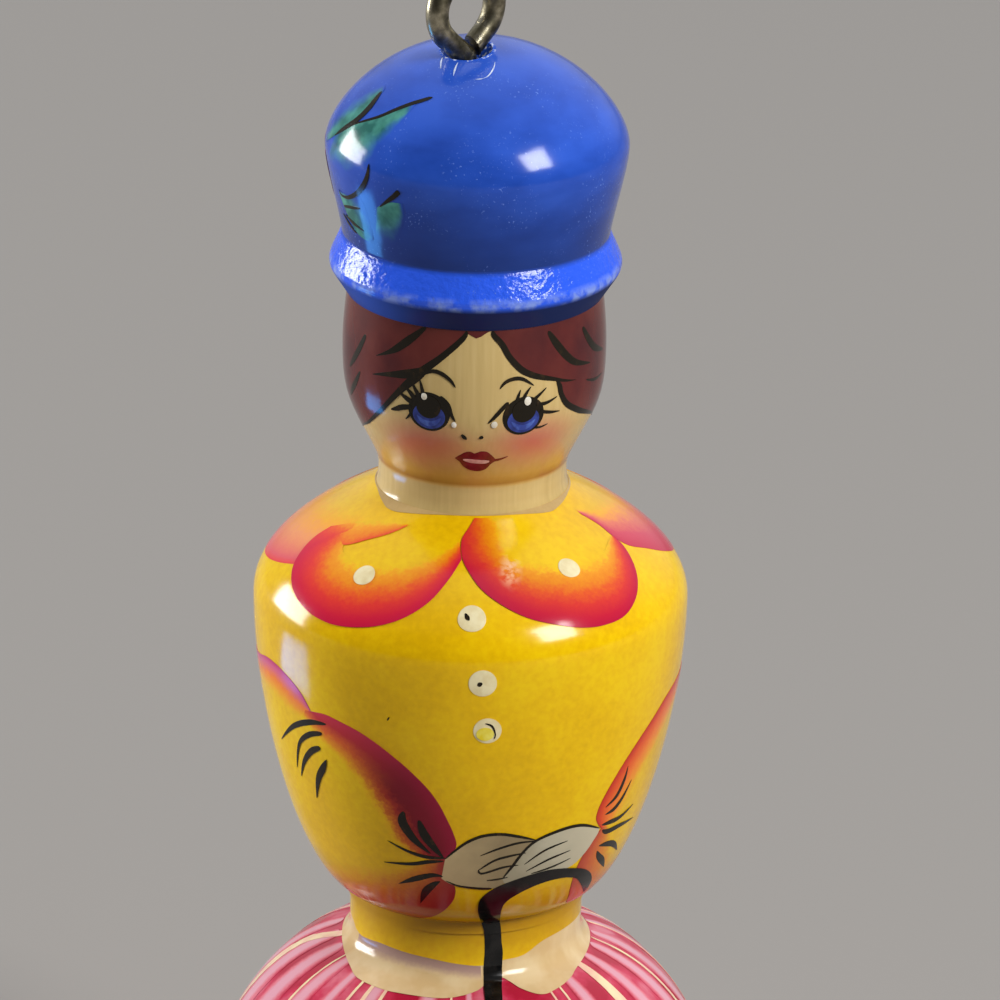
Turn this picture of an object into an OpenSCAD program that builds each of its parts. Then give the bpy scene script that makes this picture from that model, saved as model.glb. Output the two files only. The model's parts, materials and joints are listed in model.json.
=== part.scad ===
// Turned and painted wooden lady doll with a screw eye for hanging.
// Four turned pieces are stacked on glued dowels, and a wire eye is screwed into the hat.
// The base centre is the origin, the doll faces -Y, and sizes are in millimetres.

/* [Skirt] */
// Height of the skirt piece, from its flat base to the seam at the waist
skirt_height = 37.25; // [36:0.25:40]
// Radius of the hem, the widest part of the doll
hem_radius = 22.5; // [21:0.5:25]
// Radius of the rounded edge between the base and the hem
hem_round = 1.2; // [0.6:0.1:2]
// Height at which the bell ends and the cove begins
bell_height = 33.1; // [32.5:0.1:33.5]
// Radius at the top of the bell
bell_top_radius = 10; // [9.6:0.1:10.8]
// Radius of the waist above the cove
waist_radius = 8.75; // [8:0.05:8.9]

/* [Torso] */
// Height of the torso piece, from the waist seam to the neck seam
torso_height = 33.25; // [32:0.25:36]
// Radius of the chest at its widest
chest_radius = 16.35; // [15:0.05:18]
// Height of the widest part of the chest above the waist seam
chest_height = 24.35; // [22:0.05:26]
// Radius of the straight rim at the torso's foot
torso_rim_radius = 9; // [9:0.05:9.6]
// Height of that rim
torso_rim_height = 1; // [0.5:0.1:1.5]

/* [Head] */
// Height of the head piece, from the neck seam to the underside of the hat
head_height = 15.4; // [15:0.1:17]
// Radius of the neck
neck_radius = 7.05; // [6.5:0.05:7.5]
// Height of the straight neck
neck_height = 1.4; // [1:0.1:2]
// Radius of the head at its widest
head_radius = 9.8; // [9.6:0.05:10.4]
// Height of the widest part of the head above the neck seam
cheek_height = 11.3; // [10.5:0.1:12]

/* [Hat] */
// Height of the hat piece
hat_height = 19.1; // [18:0.1:21]
// Radius of the crown at its widest
crown_radius = 11.25; // [10.8:0.05:12]
// Height of the crown's widest part above the underside
crown_widest_height = 11.35; // [10.5:0.05:12]
// Radius where the crown meets the brim
hat_band_radius = 9.95; // [9.7:0.05:10.3]
// Height where the crown meets the brim
hat_band_height = 4.55; // [4.2:0.05:5]
// Radius of the brim's edge
brim_radius = 10.95; // [10.7:0.05:11.5]
// Height of the brim's edge above the underside
brim_edge_height = 2.2; // [1.8:0.1:2.6]

/* [Screw eye] */
// Diameter of the wire
wire_diameter = 1.7; // [1.5:0.05:1.8]
// Inside diameter of the loop
loop_inside = 3.7; // [3.4:0.1:4]
// Angle from upright of the two legs that run from the loop into the hat
leg_angle = 47; // [45:1:50]
// Length of the threaded shank in the hat
shank_length = 9; // [7:0.5:10]
// Distance between two ridges of the thread
thread_pitch = 0.9; // [0.8:0.1:1]
// Depth of the thread
thread_depth = 0.22; // [0.15:0.01:0.25]
// Place of the eye to the right of the hat's centre, seen from the front
eye_right = -1; // [-1.5:0.1:1.5]
// Place of the eye behind the hat's centre
eye_back = -1.5; // [-1.5:0.1:1.5]
// Angle of the loop from facing the front
loop_turn = 40; // [0:5:90]

/* [Joinery] */
// Diameter of the dowels at the hat and the neck
dowel_diameter = 5; // [4:0.5:6]
// Diameter of the dowel at the waist
waist_dowel_diameter = 6; // [5:0.5:8]
// Depth of a dowel in the hat and in the crown of the head
hat_dowel_depth = 5; // [4:0.5:6]
// Depth of a dowel in the neck and in the shoulders
neck_dowel_depth = 6.5; // [5:0.5:7]
// Depth of a dowel in the torso's foot and in the waist
waist_dowel_depth = 9; // [7:0.5:12]

/* [Hidden] */
// Pieces of the doll, each a separate solid

// Steps along each curved stretch of an outline, and facets round a circle
curve_steps = 24;
$fn = 96;

// Room for glue round a dowel and past its end, and the bevel on its ends
glue_gap = 0.05;
end_gap = 0.5;
dowel_bevel = 0.4;

// Heights of the seams between the pieces
waist_seam = skirt_height;
neck_seam = waist_seam + torso_height;
hat_seam = neck_seam + head_height;
hat_top = hat_seam + hat_height;

// Sizes of the screw eye: the loop's wire centre, and the legs, which meet below the hat's top
wire_radius = wire_diameter / 2;
loop_radius = loop_inside / 2 + wire_radius;
crown_fall_at_eye = 0.1;
legs_sunk = 0.5;
legs_meet = hat_top - crown_fall_at_eye - legs_sunk;
leg_length = loop_radius / tan(leg_angle);
loop_height = legs_meet + loop_radius / sin(leg_angle);
// The wire is a little thinner in the legs, and these run into the loop for a short stretch
squeeze = 0.97;
squeeze_overlap = 0.3;
// The cut end of the wire: tilt of the slanting cut, and its gap to the shank
cut_tilt = 24;
cut_gap = 0.08;
// Running room round the thread, and the seat that the legs press into the hat as the eye is screwed in
thread_room = 0.05;
hole_radius = wire_radius + thread_room;
seat_room = 0.08;
seat_foot = hole_radius / tan(leg_angle) - wire_radius / sin(leg_angle) - seat_room;
seat_top = hat_top - legs_meet + wire_radius;

// Pulls of the curves in the outlines: how far a curve keeps to the direction of its end, as [out, up]
hem_pull = [-0.4, 19.1];
bell_pull = [7.5, -2.8];
cove_foot_pull = [-0.75, 0.3];
cove_top_pull = [0, -1];
rim_pull = [3.9, 0.95];
chest_low_pull = [0, -8.6];
chest_high_pull = [0, 4.4];
shoulder_pull = [2.35, -1.7];
neck_pull = [0, 0.9];
jaw_foot_pull = [-0.4, -0.8];
jaw_pull = [1.7, 3.4];
cheek_low_pull = [0, -3.8];
cheek_high_pull = [0, 1.3];
temple_pull = [0.1, -1];
brim_under_pull = [0.25, 0.4];
brim_over_pull = [0.2, -0.5];
band_pull = [0.4, 2.4];
crown_low_pull = [0, -1.45];
crown_high_pull = [0, 2.3];
crown_top_pull = [7, 0];

// Small steps between the curves, as [out, up] from the size that each one follows
cove_height = 1.9;
jaw_foot = [0.75, 2.3];
temple_set_in = 0.3;
hat_overhang = 0.1;
brim_under_edge = [-0.3, -0.6];
brim_over_edge = [-0.2, 0.5];

// Lengths on the shank: plain wire above the thread, and the gimlet point
plain_length = 0.6;
point_length = 1.4;

// Curve from one point to another with a pull at each end, without its first point
function on_curve(p, t) =
    pow(1 - t, 3) * p[0] + 3 * t * pow(1 - t, 2) * p[1] + 3 * t * t * (1 - t) * p[2] + pow(t, 3) * p[3];
function curve(from, from_pull, to_pull, to) =
    [for (i = [1 : curve_steps]) on_curve([from, from + from_pull, to + to_pull, to], i / curve_steps)];
// Quarter turn from a flat face to an upright one
function rounded_edge(centre, radius) =
    [for (angle = [0 : 15 : 90]) centre + radius * [sin(angle), -cos(angle)]];

// Outline of the skirt: flat base, round hem, bell, hollow cove and straight waist
hem = [hem_radius, hem_round];
bell_top = [bell_top_radius, bell_height];
cove_top = [waist_radius, bell_height + cove_height];
skirt_outline = concat(
    [[0, 0]],
    rounded_edge([hem_radius - hem_round, hem_round], hem_round),
    curve(hem, hem_pull, bell_pull, bell_top),
    curve(bell_top, cove_foot_pull, cove_top_pull, cove_top),
    [[waist_radius, skirt_height], [0, skirt_height]]
);

// Outline of the torso: straight rim, swelling side and falling shoulder
rim_top = [torso_rim_radius, torso_rim_height];
chest = [chest_radius, chest_height];
neck_foot = [neck_radius, torso_height];
torso_outline = concat(
    [[0, 0], [torso_rim_radius, 0], rim_top],
    curve(rim_top, rim_pull, chest_low_pull, chest),
    curve(chest, chest_high_pull, shoulder_pull, neck_foot),
    [[0, torso_height]]
);

// Outline of the head: straight neck, jaw and temples
neck_top = [neck_radius, neck_height];
jaw = neck_top + jaw_foot;
cheek = [head_radius, cheek_height];
temple = [head_radius - temple_set_in, head_height];
head_outline = concat(
    [[0, 0], [neck_radius, 0], neck_top],
    curve(neck_top, neck_pull, jaw_foot_pull, jaw),
    curve(jaw, jaw_pull, cheek_low_pull, cheek),
    curve(cheek, cheek_high_pull, temple_pull, temple),
    [[0, head_height]]
);

// Outline of the hat: bevelled brim with a soft edge, flared wall and domed crown
brim_under = [brim_radius, brim_edge_height] + brim_under_edge;
brim_over = [brim_radius, brim_edge_height] + brim_over_edge;
band = [hat_band_radius, hat_band_height];
crown_side = [crown_radius, crown_widest_height];
hat_outline = concat(
    [[0, 0], [temple[0] + hat_overhang, 0], brim_under],
    curve(brim_under, brim_under_pull, brim_over_pull, brim_over),
    [band],
    curve(band, band_pull, crown_low_pull, crown_side),
    curve(crown_side, crown_high_pull, crown_top_pull, [0, hat_height])
);

// Outline of the shank from its top down, with ridges and a gimlet point, grown by some room
thread_length = shank_length - plain_length - point_length;
ridges = floor(thread_length / thread_pitch);
round_top = [for (angle = [90 : -15 : 0]) wire_radius * [cos(angle), sin(angle)]];
open_top = [[0, wire_diameter], [hole_radius, wire_diameter]];
function shank_outline(room, top) = concat(
    top,
    [
        for (ridge = [0 : ridges - 1])
            for (half = [0, 1])
                [wire_radius + room - half * thread_depth, -plain_length - (ridge + half / 2) * thread_pitch]
    ],
    [[wire_radius + room - thread_depth, point_length - shank_length], [0, -shank_length - room]]
);

// A turned piece standing on its seam
module turned(outline, foot) {
    translate([0, 0, foot])
        rotate_extrude()
            polygon(outline);
}

// A dowel through a seam, and the hole for it in the pieces on both sides
module dowel(diameter, depth, seam) {
    radius = diameter / 2;
    translate([0, 0, seam])
        rotate_extrude()
            polygon([
                [0, -depth],
                [radius - dowel_bevel, -depth],
                [radius, dowel_bevel - depth],
                [radius, depth - dowel_bevel],
                [radius - dowel_bevel, depth],
                [0, depth]
            ]);
}
module dowel_hole(diameter, depth, seam) {
    translate([0, 0, seam - depth - end_gap])
        cylinder(r = diameter / 2 + glue_gap, h = 2 * (depth + end_gap));
}

// Part of a ring of wire in the loop's plane, from one angle to another
module wire_arc(radius, from, to) {
    rotate([90, 0, 0])
        rotate([0, 0, from])
            rotate_extrude(angle = to - from)
                translate([radius, 0])
                    circle(r = wire_radius);
}

// A straight leg of the loop, on its left (-1) or its right (1)
module leg(side) {
    rotate([0, side * leg_angle, 0])
        cylinder(r = wire_radius * squeeze, h = leg_length + squeeze_overlap);
}

// What the cutters took away from the wire's end, up to a slanting plane beside the shank
module slanting_cut() {
    size = 4 * loop_radius;
    rotate([0, -cut_tilt, 0])
        translate([wire_radius + cut_gap - size, -size / 2, -size / 2])
            cube(size);
}

module screw_eye() {
    color("darkgoldenrod")
        translate([eye_right, eye_back, legs_meet])
            rotate([0, 0, loop_turn]) {
                translate([0, 0, loop_height - legs_meet])
                    wire_arc(loop_radius, -leg_angle, 180 + leg_angle);
                leg(-1);
                difference() {
                    leg(1);
                    slanting_cut();
                }
                rotate_extrude()
                    polygon(shank_outline(0, round_top));
            }
}

// The threaded hole for the shank and the seat for the legs
module eye_hole() {
    translate([eye_right, eye_back, legs_meet]) {
        rotate_extrude()
            polygon(shank_outline(thread_room, open_top));
        translate([0, 0, seat_foot])
            cylinder(
                r1 = hole_radius,
                r2 = hole_radius + (seat_top - seat_foot) * tan(leg_angle),
                h = seat_top - seat_foot
            );
    }
}

module hat() {
    color("royalblue")
        difference() {
            turned(hat_outline, hat_seam);
            dowel_hole(dowel_diameter, hat_dowel_depth, hat_seam);
            eye_hole();
        }
}

module head() {
    color("burlywood")
        difference() {
            turned(head_outline, neck_seam);
            dowel_hole(dowel_diameter, hat_dowel_depth, hat_seam);
            dowel_hole(dowel_diameter, neck_dowel_depth, neck_seam);
        }
}

module torso() {
    color("goldenrod")
        difference() {
            turned(torso_outline, waist_seam);
            dowel_hole(dowel_diameter, neck_dowel_depth, neck_seam);
            dowel_hole(waist_dowel_diameter, waist_dowel_depth, waist_seam);
        }
}

module skirt() {
    color("crimson")
        difference() {
            turned(skirt_outline, 0);
            dowel_hole(waist_dowel_diameter, waist_dowel_depth, waist_seam);
        }
}

module hat_dowel() {
    color("tan")
        dowel(dowel_diameter, hat_dowel_depth, hat_seam);
}

module neck_dowel() {
    color("tan")
        dowel(dowel_diameter, neck_dowel_depth, neck_seam);
}

module waist_dowel() {
    color("tan")
        dowel(waist_dowel_diameter, waist_dowel_depth, waist_seam);
}

screw_eye();
hat();
head();
torso();
skirt();
hat_dowel();
neck_dowel();
waist_dowel();
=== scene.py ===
# %% [markdown]
# # A turned and painted wooden lady
#
# This ornament is four pieces of pale wood turned on a lathe, stacked on glued dowels, painted by hand and
# dipped in clear lacquer, with a wire eye screwed into the hat. The solid pieces come ready from the CAD
# frame. Here the wood gets smooth skins, and every brush stroke is laid on them as a thin piece of paint
# with its own shape.

# %% Load the frame
import json
import math
import random

import bmesh
import bpy
import numpy as np
from mathutils import Matrix, Vector, noise


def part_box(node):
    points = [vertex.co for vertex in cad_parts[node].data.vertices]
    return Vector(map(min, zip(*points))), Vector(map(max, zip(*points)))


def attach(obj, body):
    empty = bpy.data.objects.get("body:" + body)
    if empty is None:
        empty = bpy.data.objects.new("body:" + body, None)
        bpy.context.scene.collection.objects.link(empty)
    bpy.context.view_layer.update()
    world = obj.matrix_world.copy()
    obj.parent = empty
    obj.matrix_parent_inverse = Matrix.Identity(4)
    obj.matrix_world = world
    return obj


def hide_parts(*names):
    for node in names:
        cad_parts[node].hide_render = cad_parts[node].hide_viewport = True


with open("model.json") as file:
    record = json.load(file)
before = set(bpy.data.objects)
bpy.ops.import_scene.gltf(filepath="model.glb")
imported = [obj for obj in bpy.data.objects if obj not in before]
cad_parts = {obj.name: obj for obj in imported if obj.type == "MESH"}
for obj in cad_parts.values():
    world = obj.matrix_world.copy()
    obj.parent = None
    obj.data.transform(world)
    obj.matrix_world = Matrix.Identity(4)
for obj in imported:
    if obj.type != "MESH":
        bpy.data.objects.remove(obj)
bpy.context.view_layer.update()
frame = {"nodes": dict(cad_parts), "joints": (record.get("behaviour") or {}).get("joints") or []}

MM = 0.001


def in_mm(values):
    """Lengths in mm, rounded for printing."""
    return [round(value / MM, 1) for value in values]


# %% [markdown]
# ## The camera
#
# The camera comes first, because everything is compared through it. It looks down on the doll at a little
# over 21 degrees, from far enough away that the doll hardly tapers, so the lens is long. It could be
# placed by rotating it with three angles. Building its matrix from the way it looks is easier to read, and
# the small roll that makes the doll lean in the frame becomes one number.

# %% Camera
IMAGE_SIDE = 1000
FOCAL_PIXELS = 8667
SENSOR_WIDTH = 36
CAMERA_PITCH = math.radians(21.3)
CAMERA_ROLL = math.radians(0.95)
CAMERA_DISTANCE = 0.65
CAMERA_TARGET = Vector((2.1, 0, 68.9)) * MM


def make_camera():
    """The camera at the photograph's viewing angle, built from its three directions."""
    data = bpy.data.cameras.new("camera")
    data.sensor_width = SENSOR_WIDTH
    data.lens = FOCAL_PIXELS / IMAGE_SIDE * SENSOR_WIDTH
    ahead = Vector((0, math.cos(CAMERA_PITCH), -math.sin(CAMERA_PITCH)))
    right = Matrix.Rotation(-CAMERA_ROLL, 3, ahead) @ Vector((1, 0, 0))
    up = right.cross(ahead)
    axes = Matrix((right, up, -ahead)).transposed()
    camera = bpy.data.objects.new("camera", data)
    camera.matrix_world = Matrix.Translation(CAMERA_TARGET - CAMERA_DISTANCE * ahead) @ axes.to_4x4()
    bpy.context.scene.collection.objects.link(camera)
    bpy.context.scene.camera = camera
    print("camera lens in mm:", round(data.lens))


make_camera()

# %% [markdown]
# ## Windows
#
# The lacquer on the doll mirrors two bright windows: a wide one far left and a little behind, and a
# smaller one high on the right in front. Point lamps would give hard shadows and tiny glints. So each
# window is a rectangular area light, as large as its reflection and placed in the direction that the
# reflection points to. A small bluish card near the floor gives the blue glints on the left of the hat and
# the hair.

# %% Window lights
LIGHT_DISTANCE = 1.3
LIGHT_TARGET = Vector((0, 0, 65)) * MM
LEFT_WINDOW = {"toward": (-0.94, 0.34, 0.08), "size": (0.64, 0.6), "power": 24.5}
RIGHT_WINDOW = {"toward": (0.637, -0.498, 0.56), "size": (0.43, 0.45), "power": 17}
CARD_PLACE = Vector((-0.13, 0.03, 0.003))
CARD_SIZE = (0.05, 0.05)
CARD_POWER = 0.062
CARD_BLUE = (0.08, 0.38, 1)


def area_light(name, place, facing, size, power, colour=(1, 1, 1)):
    """A soft rectangular light at a place, shining in a direction."""
    data = bpy.data.lights.new(name, "AREA")
    data.shape = "RECTANGLE"
    data.size, data.size_y = size
    data.energy = power
    data.color = colour
    light = bpy.data.objects.new(name, data)
    light.location = place
    light.rotation_euler = facing.to_track_quat("-Z", "Y").to_euler()
    light.visible_camera = False
    bpy.context.scene.collection.objects.link(light)


def window_light(name, toward, size, power):
    """A window: an area light that shines on the doll from a direction."""
    direction = Vector(toward).normalized()
    area_light(name, LIGHT_TARGET + direction * LIGHT_DISTANCE, -direction, size, power)


window_light("left_window", **LEFT_WINDOW)
window_light("right_window", **RIGHT_WINDOW)
area_light("blue_card", CARD_PLACE, Vector((0, 0, 1)), CARD_SIZE, CARD_POWER, CARD_BLUE)
print("lights:", [item.name for item in bpy.data.lights])

# %% [markdown]
# ## Floor and sky
#
# The floor is plain and pale, and it is stage, not ornament. A soft sky fills the shadows: it is dim in
# front and low down, and brightest high up behind the doll. A sky of one brightness would be simpler, but
# lacquer mirrors it everywhere, and the black ink would turn grey.

# %% Floor
FLOOR_HALF = 3
FLOOR_GREY = (0.28, 0.26, 0.238, 1)
FLOOR_ROUGHNESS = 0.8


def make_floor():
    """A wide, plain, pale floor."""
    bm = bmesh.new()
    bmesh.ops.create_grid(bm, x_segments=2, y_segments=2, size=FLOOR_HALF)
    for face in bm.faces:
        face.smooth = True
    mesh = bpy.data.meshes.new("floor")
    bm.to_mesh(mesh)
    bm.free()
    floor = bpy.data.objects.new("floor", mesh)
    bpy.context.scene.collection.objects.link(floor)
    material = bpy.data.materials.new("pale_floor")
    material.use_nodes = True
    shader = material.node_tree.nodes["Principled BSDF"]
    shader.inputs["Base Color"].default_value = FLOOR_GREY
    shader.inputs["Roughness"].default_value = FLOOR_ROUGHNESS
    mesh.materials.append(material)
    print("floor of", 2 * FLOOR_HALF, "m")


make_floor()

# %% Sky
SKY_BRIGHTEST = (0.1, 0.6, 0.79)
SKY = [(0.0, (0.045, 0.045, 0.047)), (0.5, (0.3, 0.305, 0.315)), (1.0, (1.12, 1.17, 1.25))]


def make_sky():
    """A soft sky: dim in front near the floor, and brightest high up behind."""
    sky = bpy.data.worlds.new("soft_room")
    sky.use_nodes = True
    tree = sky.node_tree
    place = tree.nodes.new("ShaderNodeTexCoord")
    towards = tree.nodes.new("ShaderNodeVectorMath")
    towards.operation = "DOT_PRODUCT"
    towards.inputs[1].default_value = SKY_BRIGHTEST
    ramp = tree.nodes.new("ShaderNodeValToRGB")
    ramp.color_ramp.elements.new(SKY[1][0])
    for element, (_, colour) in zip(ramp.color_ramp.elements, SKY):
        element.color = (*colour, 1)
    tree.links.new(place.outputs["Generated"], towards.inputs[0])
    tree.links.new(towards.outputs["Value"], ramp.inputs["Fac"])
    tree.links.new(ramp.outputs["Color"], tree.nodes["Background"].inputs["Color"])
    bpy.context.scene.world = sky


make_sky()
bpy.context.scene.view_settings.view_transform = "Standard"
print("sky:", bpy.context.scene.world.name, "with", len(SKY), "brightnesses")

# %% [markdown]
# ## Reading the turned shapes
#
# A turned piece is fully described by its outline: one radius for each height. The CAD meshes already hold
# those radii in their rings of vertices, so they are read from there and can't disagree with the solids.
# Vertices of the dowel holes face the axis and those of the eye's hole lie close to the eye, so both are
# easy to leave out.

# %% Outlines of the turned pieces
EYE_PLACE = Vector(frame["joints"][0]["pos_m"])
EYE_HOLE = 2.1 * MM
FACES_OUT = 0.02


def outline(node):
    """Heights and radii of a turned piece's outside in mm, foot first."""
    widest = {}
    for vertex in frame["nodes"][node].data.vertices:
        outward = Vector((vertex.co.x, vertex.co.y, 0))
        faces_out = vertex.normal.dot(outward.normalized()) > FACES_OUT
        if faces_out and (vertex.co - EYE_PLACE).xy.length > EYE_HOLE:
            height = round(vertex.co.z / MM, 3)
            widest[height] = max(outward.length / MM, widest.get(height, 0))
    points = sorted(widest.items())
    if node == "hat":
        points.append((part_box("hat")[1].z / MM, 0))
    return np.array(points)


OUTLINES = {node: outline(node) for node in ("hat", "head", "torso", "skirt")}
for node, points in OUTLINES.items():
    print(node, "outline:", len(points), "rings, widest", round(points[:, 1].max(), 2), "mm")

# %% [markdown]
# ## Lacquer in the corner of the neck
#
# Where neck and shoulder meet, the lacquer ran together, so the corner is a small hollow curve that
# catches the light. A separate ring could fill it, but a ring shows its own edges. So the two outlines get
# more points close to the seam, and each of them stands a little further out.

# %% Gathered lacquer
GATHER = 0.16
GATHER_STEPS = 12
GATHER_BELOW = 1
GATHER_ABOVE = 0.9


def gather(node, away, seam):
    """Adds to an outline the lacquer that has gathered in the corner between shoulder and neck."""
    rows = OUTLINES[node]
    heights = np.linspace(away, seam, GATHER_STEPS)
    share = (heights - away) / (seam - away)
    radii = np.interp(heights, rows[:, 0], rows[:, 1]) + GATHER * share ** 2
    clear = (rows[:, 0] < heights.min()) | (rows[:, 0] > heights.max())
    rows = np.vstack((rows[clear], np.column_stack((heights, radii))))
    return rows[rows[:, 0].argsort()]


NECK_SEAM = OUTLINES["head"][0, 0]
OUTLINES["torso"] = gather("torso", NECK_SEAM - GATHER_BELOW, NECK_SEAM)
OUTLINES["head"] = gather("head", NECK_SEAM + GATHER_ABOVE, NECK_SEAM)
print("corner of the neck at", round(NECK_SEAM, 2), "mm")

# %% [markdown]
# ## Places on the wood
#
# A painter thinks of a place as so far round and so far up. The paint is placed in the same way: in
# degrees from the front and in mm of height. Points in space could be written down instead, but they would
# leave the wood as soon as an outline changed. These helpers find such a place on the outline, or a little
# above it.

# %% Places on a turned piece
SLOPE_STEP = 0.15


def radius_at(node, height):
    """Radius of a turned piece at a height, in mm."""
    return float(np.interp(height, OUTLINES[node][:, 0], OUTLINES[node][:, 1]))


def slope_at(node, height):
    """How fast the radius grows with height."""
    low = max(height - SLOPE_STEP, OUTLINES[node][0, 0])
    high = min(height + SLOPE_STEP, OUTLINES[node][-1, 0])
    return (radius_at(node, high) - radius_at(node, low)) / (high - low)


def on_skin(node, angle, height, lift=0.0):
    """A point on a turned piece, or lifted off it by some mm.

    The angle is in degrees to the viewer's right of the front, and the height is in mm.
    """
    slope = slope_at(node, height)
    tilt = math.hypot(1, slope)
    radius = radius_at(node, height) + lift / tilt
    turn = math.radians(angle)
    return Vector((radius * math.sin(turn), -radius * math.cos(turn), height - slope * lift / tilt)) * MM


print("front of the chest in mm:", in_mm(on_skin("torso", 0, 60)))

# %% [markdown]
# ## Wooden skins
#
# Each piece could keep its CAD mesh, but that is made of narrow cones, and glossy lacquer shows every one
# of them. So the same outline is spun once more, as a lathe would, and shaded smooth. Only real corners
# stay sharp. The foot and the head of each piece get the socket of their dowel, so the skins are whole
# pieces and not paper shells.

# %% The lathe
LATHE_STEPS = 256
SAME_POINT = 1e-6
CORNER = math.radians(32)


def finish_mesh(name, bm):
    """Turns a bmesh into a smooth object with sharp corners, at the origin."""
    for face in bm.faces:
        face.smooth = True
    for edge in bm.edges:
        edge.smooth = edge.calc_face_angle(math.pi) < CORNER
    mesh = bpy.data.meshes.new(name)
    bm.to_mesh(mesh)
    bm.free()
    piece = bpy.data.objects.new(name, mesh)
    bpy.context.scene.collection.objects.link(piece)
    return piece


def turn_skin(node, foot, head, least=0.0, close=None):
    """Spins the outline of a turned piece into a smooth skin, with what closes it at its foot and head."""
    profile = foot + [(radius, height) for height, radius in OUTLINES[node] if radius >= least] + head
    bm = bmesh.new()
    verts = [bm.verts.new((radius * MM, 0, height * MM)) for radius, height in profile]
    edges = [bm.edges.new(pair) for pair in zip(verts, verts[1:])]
    bmesh.ops.spin(
        bm, geom=verts + edges, cent=(0, 0, 0), axis=(0, 0, 1),
        angle=2 * math.pi, steps=LATHE_STEPS, use_merge=True,
    )
    bmesh.ops.remove_doubles(bm, verts=bm.verts, dist=SAME_POINT)
    if close:
        close(bm)
    bmesh.ops.recalc_face_normals(bm, faces=bm.faces)
    return finish_mesh(node + "_skin", bm)


print("the lathe turns in", LATHE_STEPS, "steps")

# %% [markdown]
# ## The crown of the hat
#
# The legs of the eye have crushed a pit into the lacquer of the crown, with a small lip round it. The eye
# is not on the axis of the hat, so the lathe can't turn the pit. A boolean cut could make it, but it
# leaves long thin triangles that lacquer shows. Instead the open ring of the crown is extruded again and
# again, and each new ring moves on from the axis of the hat to the axis of the eye.

# %% Shape of the crown
CAP_RADIUS = 4.5
PIT_FOOT = (0.95, 103.95)
PIT_SLOPE = math.tan(math.radians(47))
PIT_ROUNDS = 6
LIP = 0.06
LIP_RISE = 9
CRUSH = 0.08
CRUSH_WAVES = 3
CROWN_REACH = 7
crown = OUTLINES["hat"][OUTLINES["hat"][:, 1] < CROWN_REACH]
CROWN_FIT = np.polyfit(crown[:, 1] ** 2, crown[:, 0], 3)
CAP_EDGE = min(radius for height, radius in OUTLINES["hat"] if radius >= CAP_RADIUS)


def crown_height(x, y):
    """Height of the crown's surface, in mm."""
    return float(np.polyval(CROWN_FIT, x * x + y * y))


def pit_rim(turn):
    """How far from the eye's axis its pit meets the lip, in one direction, in mm."""
    eye = EYE_PLACE.xy / MM
    reach = PIT_FOOT[0]
    for _ in range(PIT_ROUNDS):
        top = crown_height(eye.x + reach * math.cos(turn), eye.y + reach * math.sin(turn)) + LIP
        reach = PIT_FOOT[0] + (top - PIT_FOOT[1]) * PIT_SLOPE
    crushed = noise.noise((CRUSH_WAVES * math.cos(turn), CRUSH_WAVES * math.sin(turn), 0.5))
    return reach + CRUSH * max(crushed, 0)


def cap_point(turn, share):
    """A point of the crown on the way from its open ring to the rim of the eye's pit."""
    middle = EYE_PLACE.xy / MM * share
    reach = CAP_EDGE + (pit_rim(turn) - CAP_EDGE) * share
    x = middle.x + reach * math.cos(turn)
    y = middle.y + reach * math.sin(turn)
    lip = LIP * max(LIP_RISE * share - (LIP_RISE - 1), 0)
    return Vector((x, y, crown_height(x, y) + lip)) * MM


def pit_point(turn, radius, height):
    """A point on the wall of the eye's pit or of its hole."""
    axis = EYE_PLACE * Vector((1, 1, 0))
    return axis + Vector((radius * math.cos(turn), radius * math.sin(turn), height)) * MM


print("rim of the pit in mm:", [round(pit_rim(turn), 2) for turn in (0, 2, 4)])

# %% Rings of the crown
CAP_RINGS = 14
HOLE_END = 95.2


def close_crown(bm):
    """Adds ring after ring to the open crown, down into the pit and the hole of the eye."""
    turns = bm.verts.layers.float.new("turn")
    ring = [edge for edge in bm.edges if edge.is_boundary]
    for vert in dict.fromkeys(vert for edge in ring for vert in edge.verts):
        vert[turns] = math.atan2(vert.co.y, vert.co.x)
    depths = (PIT_FOOT[1], HOLE_END)
    for step in range(1, CAP_RINGS + len(depths) + 1):
        made = bmesh.ops.extrude_edge_only(bm, edges=ring)["geom"]
        verts = [item for item in made if isinstance(item, bmesh.types.BMVert)]
        for vert in verts:
            if step <= CAP_RINGS:
                vert.co = cap_point(vert[turns], step / CAP_RINGS)
            else:
                vert.co = pit_point(vert[turns], PIT_FOOT[0], depths[step - CAP_RINGS - 1])
        edges = dict.fromkeys(edge for vert in verts for edge in vert.link_edges)
        ring = [edge for edge in edges if edge.is_boundary]
        if step >= CAP_RINGS:
            for face in dict.fromkeys(face for vert in verts for face in vert.link_faces):
                face.material_index = 1
    bmesh.ops.contextual_create(bm, geom=ring)
    bm.verts.layers.float.remove(turns)


print("the crown closes in", CAP_RINGS, "rings")

# %% [markdown]
# ## Sockets and skins
#
# Every two pieces of the doll are held by a dowel in two blind holes. The holes never show, so the skins
# could be left open there. But an open skin has no inside, and light could leak through it. So each outline
# runs on into its sockets, and then all four pieces are turned.

# %% Turn all four skins
SOCKET_GAP = 0.06
SOCKET_SPARE = 0.5


def foot_socket(dowel, seam):
    """Outline of the dowel hole in the foot of a piece, from the axis to the seam, in mm."""
    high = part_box(dowel)[1]
    radius = high.x / MM + SOCKET_GAP
    end = high.z / MM + SOCKET_SPARE
    return [(0, end), (radius, end), (radius, seam)]


def head_socket(dowel, seam):
    """Outline of the dowel hole in the head of a piece, from the seam to the axis, in mm."""
    low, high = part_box(dowel)
    radius = high.x / MM + SOCKET_GAP
    end = low.z / MM - SOCKET_SPARE
    return [(radius, seam), (radius, end), (0, end)]


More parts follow.
